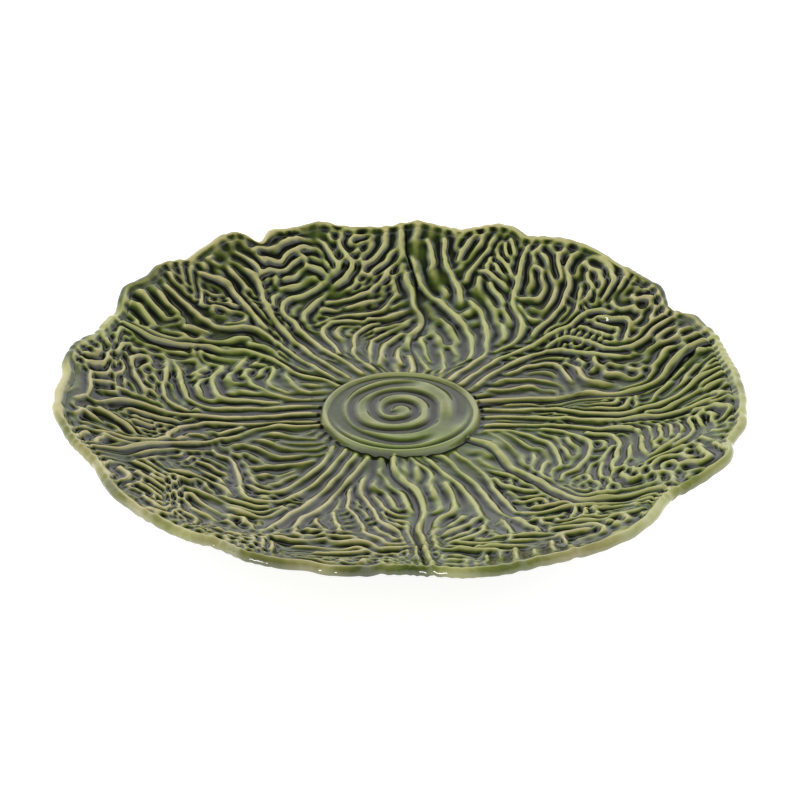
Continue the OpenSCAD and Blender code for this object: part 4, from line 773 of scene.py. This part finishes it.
body_rows = []
for share in np.linspace(0, 1, UPPER_STEPS)[1:]:
    body_rows.append(at_height(share * (body_edge - LIP_W - 2 * TUCK_W), -SUNK))
for inside in np.linspace(LIP_W + TUCK_W, LIP_CREST * LIP_W, FLANK_STEPS):
    r = body_edge - inside
    dip = SUNK * ease((inside - LIP_W) / TUCK_W)
    body_rows.append(at_height(r, over_wall(r, turn) - dip))
crest = body_rows[-1]
crest_r = np.hypot(crest[:, 0], crest[:, 1])
for tilt in np.radians(np.linspace(90, -90, ROLL_STEPS))[1:]:
    r = crest_r + (LIP_CREST * LIP_W + lumps * math.cos(tilt)) * math.cos(tilt)
    z = crest[:, 2] - ROLL_TALL * (1 - math.sin(tilt)) + lumps * LUMP_UP * math.cos(tilt)
    body_rows.append(round_axis(r, turn, z))
under = body_rows[-1]
under_r = np.hypot(under[:, 0], under[:, 1])
under_over = under[:, 2] - at_height(under_r, 0)[:, 2]
for share in np.linspace(0, 1, UNDER_STEPS)[1:]:
    r = under_r + (FLOOR_R - under_r) * share
    body_rows.append(at_height(r, under_over + (-WALL_T - under_over) * ease(share * UNDER_FADE)))
for share in np.linspace(1, 0, FLOOR_STEPS)[1:-1]:
    body_rows.append(at_height(FLOOR_R * share + 0 * turn, -WALL_T))
body_points = np.concatenate(body_rows + [[[0, 0, WELL_Z - SUNK], [0, 0, WELL_Z - WALL_T]]])
n_rows = len(body_rows)

# Its glaze: worn pale along the lip's crest, in soft runs over the roll, and calmer underneath
ROLL_UPPER = 9
UPPER_ROWS = UPPER_STEPS - 1 + FLANK_STEPS + ROLL_UPPER
WORN_MEAN = 0.75
WORN_SWING = 0.35
WORN_SPREAD = 0.004
WORN_LEAST = 0.1
WORN_MOST = 1.2
CREST_IN = 0.0004
CREST_W = 0.0009
CREST_PALE = 0.0006
INNER_W = 0.001
BODY_TONE = 0.0002
RUN_TONE = 0.0003
RUN_SPREAD = 0.009
RUN_UNDER = 0.3
NEAR_RIM = 0.003
NEAR_RIM_FADE = 0.006
body_x, body_y = body_points[:, 0], body_points[:, 1]
body_inside = around(EDGE_R, np.arctan2(body_y, body_x)) - np.hypot(body_x, body_y)
past_crest = body_inside - LIP_CREST * LIP_W
is_upper = np.append(np.repeat(np.arange(n_rows) < UPPER_ROWS, BODY_COLUMNS), [True, False])
crest_worn = WORN_MEAN + WORN_SWING * sample(soft_noise(WORN_SPREAD), body_x, body_y)
crest_worn = np.clip(crest_worn, WORN_LEAST, WORN_MOST)
on_crest = soft_line(past_crest - CREST_IN, CREST_W) * is_upper * crest_worn
inner = is_upper * ease(past_crest / INNER_W)
near_rim = 1 - ease((body_inside - NEAR_RIM) / NEAR_RIM_FADE)
rim_run = RUN_TONE * sample(soft_noise(RUN_SPREAD), body_x, body_y)
rim_run *= RUN_UNDER + (1 - RUN_UNDER) * near_rim
rim_tone = BODY_TONE + rim_run + RIM_PALE * near_rim
body_thin_and_shade = rim_tone + CREST_PALE * on_crest
body_thin_and_shade += inner * (sample(THIN_AND_SHADE, body_x, body_y) - rim_tone)
body_faces = [quads(n_rows, BODY_COLUMNS, closed=True), end_faces(n_rows, BODY_COLUMNS)]
body = solid_from("plate_body", body_points, body_faces, {"thin": body_thin_and_shade})
body.data.materials.append(leaf_glaze)
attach(body, "root")
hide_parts("dish")


# The foot: a low ring turned on the underside, made all of matt buff clay. It was wiped bare of
# glaze where it stands, so that it doesn't stick in the kiln.
FOOT_W = 0.005
FOOT_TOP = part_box("foot_ring")[1].z
FOOT_STEPS = 180
CLAY_ROUGH = 0.8
GRAIN_SHARE = 0.3


def bare_clay():
    """Matt fired clay with fine grains, paler and darker where it rubs."""
    material = bpy.data.materials.new("bare_clay")
    material.use_nodes = True
    bench = Bench(material.node_tree)
    place = bench.node("ShaderNodeTexCoord", out="Object")
    grain = bench.noise(place, scale=1500.0, detail=2.0, rough=0.6)
    stain = bench.noise(place, scale=60.0, detail=3.0, rough=0.6)
    colour = bench.ramp(stain * (1 - GRAIN_SHARE) + grain * GRAIN_SHARE,
                        (0.3, srgb(176, 156, 124)), (0.7, srgb(206, 190, 160)))
    bump = bench.node("ShaderNodeBump", {}, {
        "Strength": 0.3, "Distance": 0.0001, "Height": grain})
    shader = bench.node("ShaderNodeBsdfPrincipled", {}, {
        "Base Color": colour, "Roughness": CLAY_ROUGH, "Normal": bump})
    bench.node("ShaderNodeOutputMaterial", {}, {"Surface": shader})
    return material


def turned_ring_tree():
    """Nodes that carry a section round a circle, as a ring is turned on the wheel."""
    tree = bpy.data.node_groups.new("turned_ring", "GeometryNodeTree")
    face = tree.interface
    face.new_socket("Section", in_out="INPUT", socket_type="NodeSocketGeometry")
    for name, value in (("Ring radius", FOOT_R), ("Steps", FOOT_STEPS)):
        kind = "NodeSocketInt" if name == "Steps" else "NodeSocketFloat"
        face.new_socket(name, in_out="INPUT", socket_type=kind).default_value = value
    face.new_socket("Clay", in_out="INPUT", socket_type="NodeSocketMaterial")
    face.new_socket("Ring", in_out="OUTPUT", socket_type="NodeSocketGeometry")
    bench = Bench(tree)
    given = tree.nodes.new("NodeGroupInput")
    take = {s.name: Wire(bench, s) for s in given.outputs if s.name}
    section = bench.node("GeometryNodeMeshToCurve", {}, {0: take["Section"]})
    circle = bench.node("GeometryNodeCurvePrimitiveCircle", {}, {
        "Resolution": take["Steps"], "Radius": take["Ring radius"]})
    ring = bench.node("GeometryNodeCurveToMesh", {}, {0: circle, "Profile Curve": section})
    outward = bench.node("GeometryNodeFlipFaces", {}, {0: ring})
    smooth = bench.node("GeometryNodeSetShadeSmooth", {}, {0: outward})
    real = bench.node("GeometryNodeRealizeInstances", {}, {0: smooth})
    clay = bench.node("GeometryNodeSetMaterial", {}, {"Geometry": real, "Material": take["Clay"]})
    bench.node("NodeGroupOutput", {}, {0: clay})
    return tree


# Section across the ring, as shares of its width and of its height, from the inner top round
FOOT_SECTION = [(-0.62, 1.1), (-0.52, 0.75), (-0.46, 0.4), (-0.38, 0.14), (-0.22, 0.02),
                (0.0, 0.0), (0.22, 0.02), (0.38, 0.14), (0.46, 0.4), (0.52, 0.75), (0.62, 1.1)]
section_mesh = bpy.data.meshes.new("foot_section")
section_points = [(s * FOOT_W, -h * FOOT_TOP, 0) for s, h in FOOT_SECTION]
n_section = len(section_points)
section_sides = [(i, (i + 1) % n_section) for i in range(n_section)]
section_mesh.from_pydata(section_points, section_sides, [])
section = bpy.data.objects.new("foot_ring_turned", section_mesh)
bpy.context.scene.collection.objects.link(section)
foot_values = {"Clay": bare_clay(), "Ring radius": FOOT_R - FOOT_W / 2}
foot = made_plain(section, turned_ring_tree(), foot_values)
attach(foot, "root")
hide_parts("foot_ring")


# The stem disc: the cut end of the cabbage stem, modelled as a low round pad with a beaded edge
# and one groove wound over it from the middle, paler where the glaze has run off its ridges.
DISC_R = 0.0330
BEAD_IN = 0.0292
DISC_SUNK = 0.001
DISC_LOW = WELL_Z - DISC_SUNK
RIDGE_H = 0.0012
RIDGE_HALF = 0.0026
GROOVE_FLAT = 0.0008
BEAD_H = 0.0011
BEAD_ROUND = 0.8
BEAD_FALL = 0.0019
FALL_FROM = 0.55
FALL_OVER = 0.45
FLAT_BY_BEAD = 0.0022
LOW_BY_BEAD = 0.2
RIDGE_WORN = 0.14
RIDGE_SPREAD = 0.0035

# Turns of the groove: angle in degrees, radius in mm, read clockwise from the middle. It is drawn
# a couple of degrees at a time, evened, and opens out on its outer turns at two sides
WOUND = [(215, 0.8), (200, 2.6), (190, 4.2), (172, 5.3), (150, 5.9), (120, 6.8), (90, 7.4),
         (55, 6.9), (20, 6.3), (0, 6.1), (-45, 6.2), (-90, 6.9), (-135, 9.5), (-180, 11.0),
         (-210, 13.0), (-240, 15.7), (-270, 16.0), (-300, 15.8), (-330, 14.8), (-360, 13.3),
         (-390, 14.6), (-420, 15.0), (-450, 15.0), (-480, 16.9), (-510, 19.6), (-540, 20.0),
         (-570, 21.4), (-600, 21.1), (-630, 22.8), (-655, 23.8)]
WOUND_LAST = [(330, 24.0), (360, 24.6), (390, 27.2), (420, 28.4), (450, 28.6), (480, 28.4),
              (510, 26.6), (540, 26.4), (570, 24.4), (600, 23.2), (630, 24.4), (670, 23.8)]
TURN_STEP = 2.0
TURN_EVEN = 8
TURN_END = 30
WIDE_AT = (18, 186)
WIDE_SPREAD = 34
WIDER = 0.75
WIDE_FROM = 21
WIDE_FADE = 3
MM_PER_M = 1000


def groove_line(turns):
    """Places along a groove, and its depth and width as shares there. Its ends fade out."""
    angle, radius = np.array(turns, float).T
    order = np.argsort(angle)
    fine = np.arange(angle.min(), angle.max(), TURN_STEP)
    r = np.interp(fine, angle[order], radius[order])
    bell = np.hanning(2 * TURN_EVEN + 3)
    r = np.convolve(np.pad(r, TURN_EVEN, "edge"), bell[1:-1] / bell.sum(), "valid")
    a = np.radians(fine)
    ends = np.minimum(np.arange(len(fine)), np.arange(len(fine))[::-1]) * TURN_STEP / TURN_END
    wide = sum(soft_line((fine - at + 180) % 360 - 180, WIDE_SPREAD) for at in WIDE_AT)
    wide = 1 + WIDER * wide * ease((r - WIDE_FROM) / WIDE_FADE)
    return r * np.cos(a) / MM_PER_M, r * np.sin(a) / MM_PER_M, ease(ends), wide


# The pad's height over its flat top, on a fine grid of its own
DISC_GRID = 0.0002
DISC_HALF = 0.036
disc_axis = np.arange(-DISC_HALF, DISC_HALF, DISC_GRID) + DISC_GRID / 2
px, py = np.meshgrid(disc_axis, disc_axis)
pr = np.hypot(px, py)
ridge_share = np.ones_like(px)
for turns in (WOUND, WOUND_LAST):
    for x, y, share, wide in zip(*groove_line(turns)):
        t = ease((np.hypot(px - x, py - y) / wide - GROOVE_FLAT) / RIDGE_HALF)
        ridge_share = np.minimum(ridge_share, 1 - share * (1 - t))
bead = np.clip((pr - BEAD_IN) / (DISC_R - BEAD_IN), 0, 1)
by_bead = ease((pr - BEAD_IN + FLAT_BY_BEAD) / FLAT_BY_BEAD)
ridge_share *= LOW_BY_BEAD + (1 - LOW_BY_BEAD) * (1 - by_bead)
worn = sample(soft_noise(RIDGE_SPREAD), px, py)
pad = RIDGE_H * ridge_share * (1 + RIDGE_WORN * worn)
pad += BEAD_H * np.sin(math.pi * bead) ** BEAD_ROUND
pad -= BEAD_FALL * ease((bead - FALL_FROM) / FALL_OVER)

# Its corners: rows round the top from the middle out, then down the side, each with its share of
# the way down and how far out from the edge it stands
DISC_COLUMNS = 360
PAD_STEPS = 128
BEAD_STEPS = 20
POLE_R = 0.0004
SIDE_DOWN = ((0.3, 0.0002), (0.6, 0.0001), (1.0, -0.0006))
disc_r = np.append(np.linspace(POLE_R, BEAD_IN, PAD_STEPS),
                   BEAD_IN + np.linspace(0, 1, BEAD_STEPS)[1:] * (DISC_R - BEAD_IN))
disc_turn = np.arange(DISC_COLUMNS) * 2 * math.pi / DISC_COLUMNS
dr, da = np.meshgrid(disc_r, disc_turn, indexing="ij")
dx, dy = dr * np.cos(da), dr * np.sin(da)
disc_z = DISC_TOP + sample(pad, dx, dy, DISC_HALF, DISC_GRID)
disc_rows = [np.stack([dx, dy, disc_z], -1).reshape(-1, 3)]
side_top = disc_z[-1]
for share, out in SIDE_DOWN:
    side_z = side_top + (DISC_LOW - side_top) * share
    disc_rows.append(round_axis(DISC_R + out, disc_turn, side_z))
disc_points = np.concatenate(disc_rows + [[[0, 0, disc_z[0].mean()], [0, 0, DISC_LOW]]])
rows = len(disc_r) + len(SIDE_DOWN)

# Its glaze: as the leaves' but greyer, pale along the bead, and darker over the bead's outer fall
# and down its side: pooled glaze and painted shade under the bead
PAD_THIN_OVER = ((0.45, 0.0048), (0.5, 0.0024), (0.5, 0.0012))
PAD_TONE = -0.0001
BEAD_PALE = 0.0008
BEAD_PALE_NARROW = 1.5
BEAD_POOL_AND_SHADE = 0.0003
BEAD_TONE = 0.0001
BEAD_RUN = 0.0002
BEAD_RUN_SPREAD = 0.004
BEAD_BLEND = 0.001
# Darker down the disc's side: pooled glaze and painted shade under the bead
SIDE_POOL_AND_SHADE = (-0.0002, -0.0007, -0.001)
disc_waves = np.hypot(*np.meshgrid(np.fft.rfftfreq(len(disc_axis), DISC_GRID),
                                   np.fft.fftfreq(len(disc_axis), DISC_GRID)))
pad_thin = sum(share * (pad - blur(pad, width, disc_waves)) for share, width in PAD_THIN_OVER)
pad_thin += PAD_TONE
over_bead = np.clip((dr - BEAD_IN) / (DISC_R - BEAD_IN), 0, 1)
bead_tone = BEAD_PALE * np.sin(math.pi * over_bead) ** BEAD_PALE_NARROW
# Darker over the bead's outer half as it falls to the leaves: pooled glaze and painted shade
bead_tone -= BEAD_POOL_AND_SHADE * ease(2 * over_bead - 1)
bead_tone += BEAD_TONE + BEAD_RUN * sample(soft_noise(BEAD_RUN_SPREAD), dx, dy)
is_bead = ease((dr - BEAD_IN) / BEAD_BLEND)
pad_tone = sample(pad_thin, dx, dy, DISC_HALF, DISC_GRID)
top_tone = pad_tone * (1 - is_bead) + bead_tone * is_bead
disc_thin_and_shade = np.concatenate([top_tone.ravel(), np.repeat(SIDE_POOL_AND_SHADE, DISC_COLUMNS), [0, 0]])
stem_glaze = glaze("stem_glaze", pool=srgb(56, 58, 42), slope=srgb(74, 84, 40),
                   brow=srgb(112, 120, 68), crest=srgb(154, 156, 108),
                   thin_low=-0.0008, thin_high=0.0008)
disc_faces = [quads(rows, DISC_COLUMNS, closed=True), end_faces(rows, DISC_COLUMNS)]
disc = solid_from("stem_disc_wound", disc_points, disc_faces, {"thin": disc_thin_and_shade})
disc.data.materials.append(stem_glaze)
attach(disc, "root")
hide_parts("stem_disc", "stem_coil")


# The studio: a pale floor that keeps the plate's shadow, white all round at the level of the
# horizon and dimmer overhead, two large soft lamps, and a small one that glints in the glaze.
FLOOR_HALF = 3.0
FLOOR_PALE = (0.6, 0.6, 0.6, 1)
FLOOR_GLOW = 0.85
WHITE = (1, 1, 1, 1)


def is_ray(bench, *kinds):
    """1 for a ray of one of the kinds named, such as Camera, and 0 for any other."""
    path = bench.tree.nodes.new("ShaderNodeLightPath")
    found = Wire(bench, path.outputs[f"Is {kinds[0]} Ray"])
    for kind in kinds[1:]:
        found = found.above(Wire(bench, path.outputs[f"Is {kind} Ray"]))
    return found


def white_floor():
    """A matt floor that takes the shadow and looks white in the view and in the glaze."""
    material = bpy.data.materials.new("floor_white")
    material.use_nodes = True
    bench = Bench(material.node_tree)
    matt = bench.node("ShaderNodeBsdfDiffuse", {}, {"Color": FLOOR_PALE})
    seen = is_ray(bench, "Camera", "Glossy", "Transmission")
    glow = bench.node("ShaderNodeEmission", {}, {"Color": WHITE, "Strength": seen * FLOOR_GLOW})
    both = bench.node("ShaderNodeAddShader", {}, {0: matt, 1: glow})
    bench.node("ShaderNodeOutputMaterial", {}, {"Surface": both})
    return material


floor_corners = [(x * FLOOR_HALF, y * FLOOR_HALF, 0)
                 for x, y in ((-1, -1), (1, -1), (1, 1), (-1, 1))]
floor = solid_from("floor", floor_corners, [np.array([[0, 1, 2, 3]])], {})
floor.data.materials.append(white_floor())

WORLD_LEVEL = 0.46
OVERHEAD = (0.38, 0.9)
OVERHEAD_DARK = 0.93
world = bpy.data.worlds.new("studio")
bpy.context.scene.world = world
world.use_nodes = True
bench = Bench(world.node_tree)
ray = bench.node("ShaderNodeTexCoord", out="Generated")
up = bench.node("ShaderNodeSeparateXYZ", {}, {0: ray}, out="Z")
camera_ray = is_ray(bench, "Camera", "Transmission")
glossy_ray = is_ray(bench, "Glossy")
shown = 1.0 - up.between(*OVERHEAD) * OVERHEAD_DARK
lit = glossy_ray * shown + (1.0 - glossy_ray) * WORLD_LEVEL
level = (camera_ray + (1.0 - camera_ray) * lit).below(1.0)
background = bench.node("ShaderNodeBackground", {}, {"Color": WHITE, "Strength": level})
bench.node("ShaderNodeOutputWorld", {}, {"Surface": background})

# Each lamp's name, place, size in metres, power in watts, and whether the glaze mirrors it
LAMPS = [("key", (-1.15, 0.45, 0.95), 0.7, 16.0, False),
         ("fill", (1.3, 0.25, 0.95), 0.9, 13.0, False),
         ("glint", (-0.85, -1.1, 0.16), 0.3, 4.5, True)]
for name, place, size, power, mirrored in LAMPS:
    lamp_data = bpy.data.lights.new(name, "AREA")
    lamp_data.shape = "SQUARE"
    lamp_data.size = size
    lamp_data.energy = power
    lamp = bpy.data.objects.new(name, lamp_data)
    lamp.location = place
    lamp.visible_glossy = mirrored
    lamp.rotation_euler = Vector(place).to_track_quat("Z", "Y").to_euler()
    bpy.context.scene.collection.objects.link(lamp)

bpy.context.scene.view_settings.view_transform = "Standard"
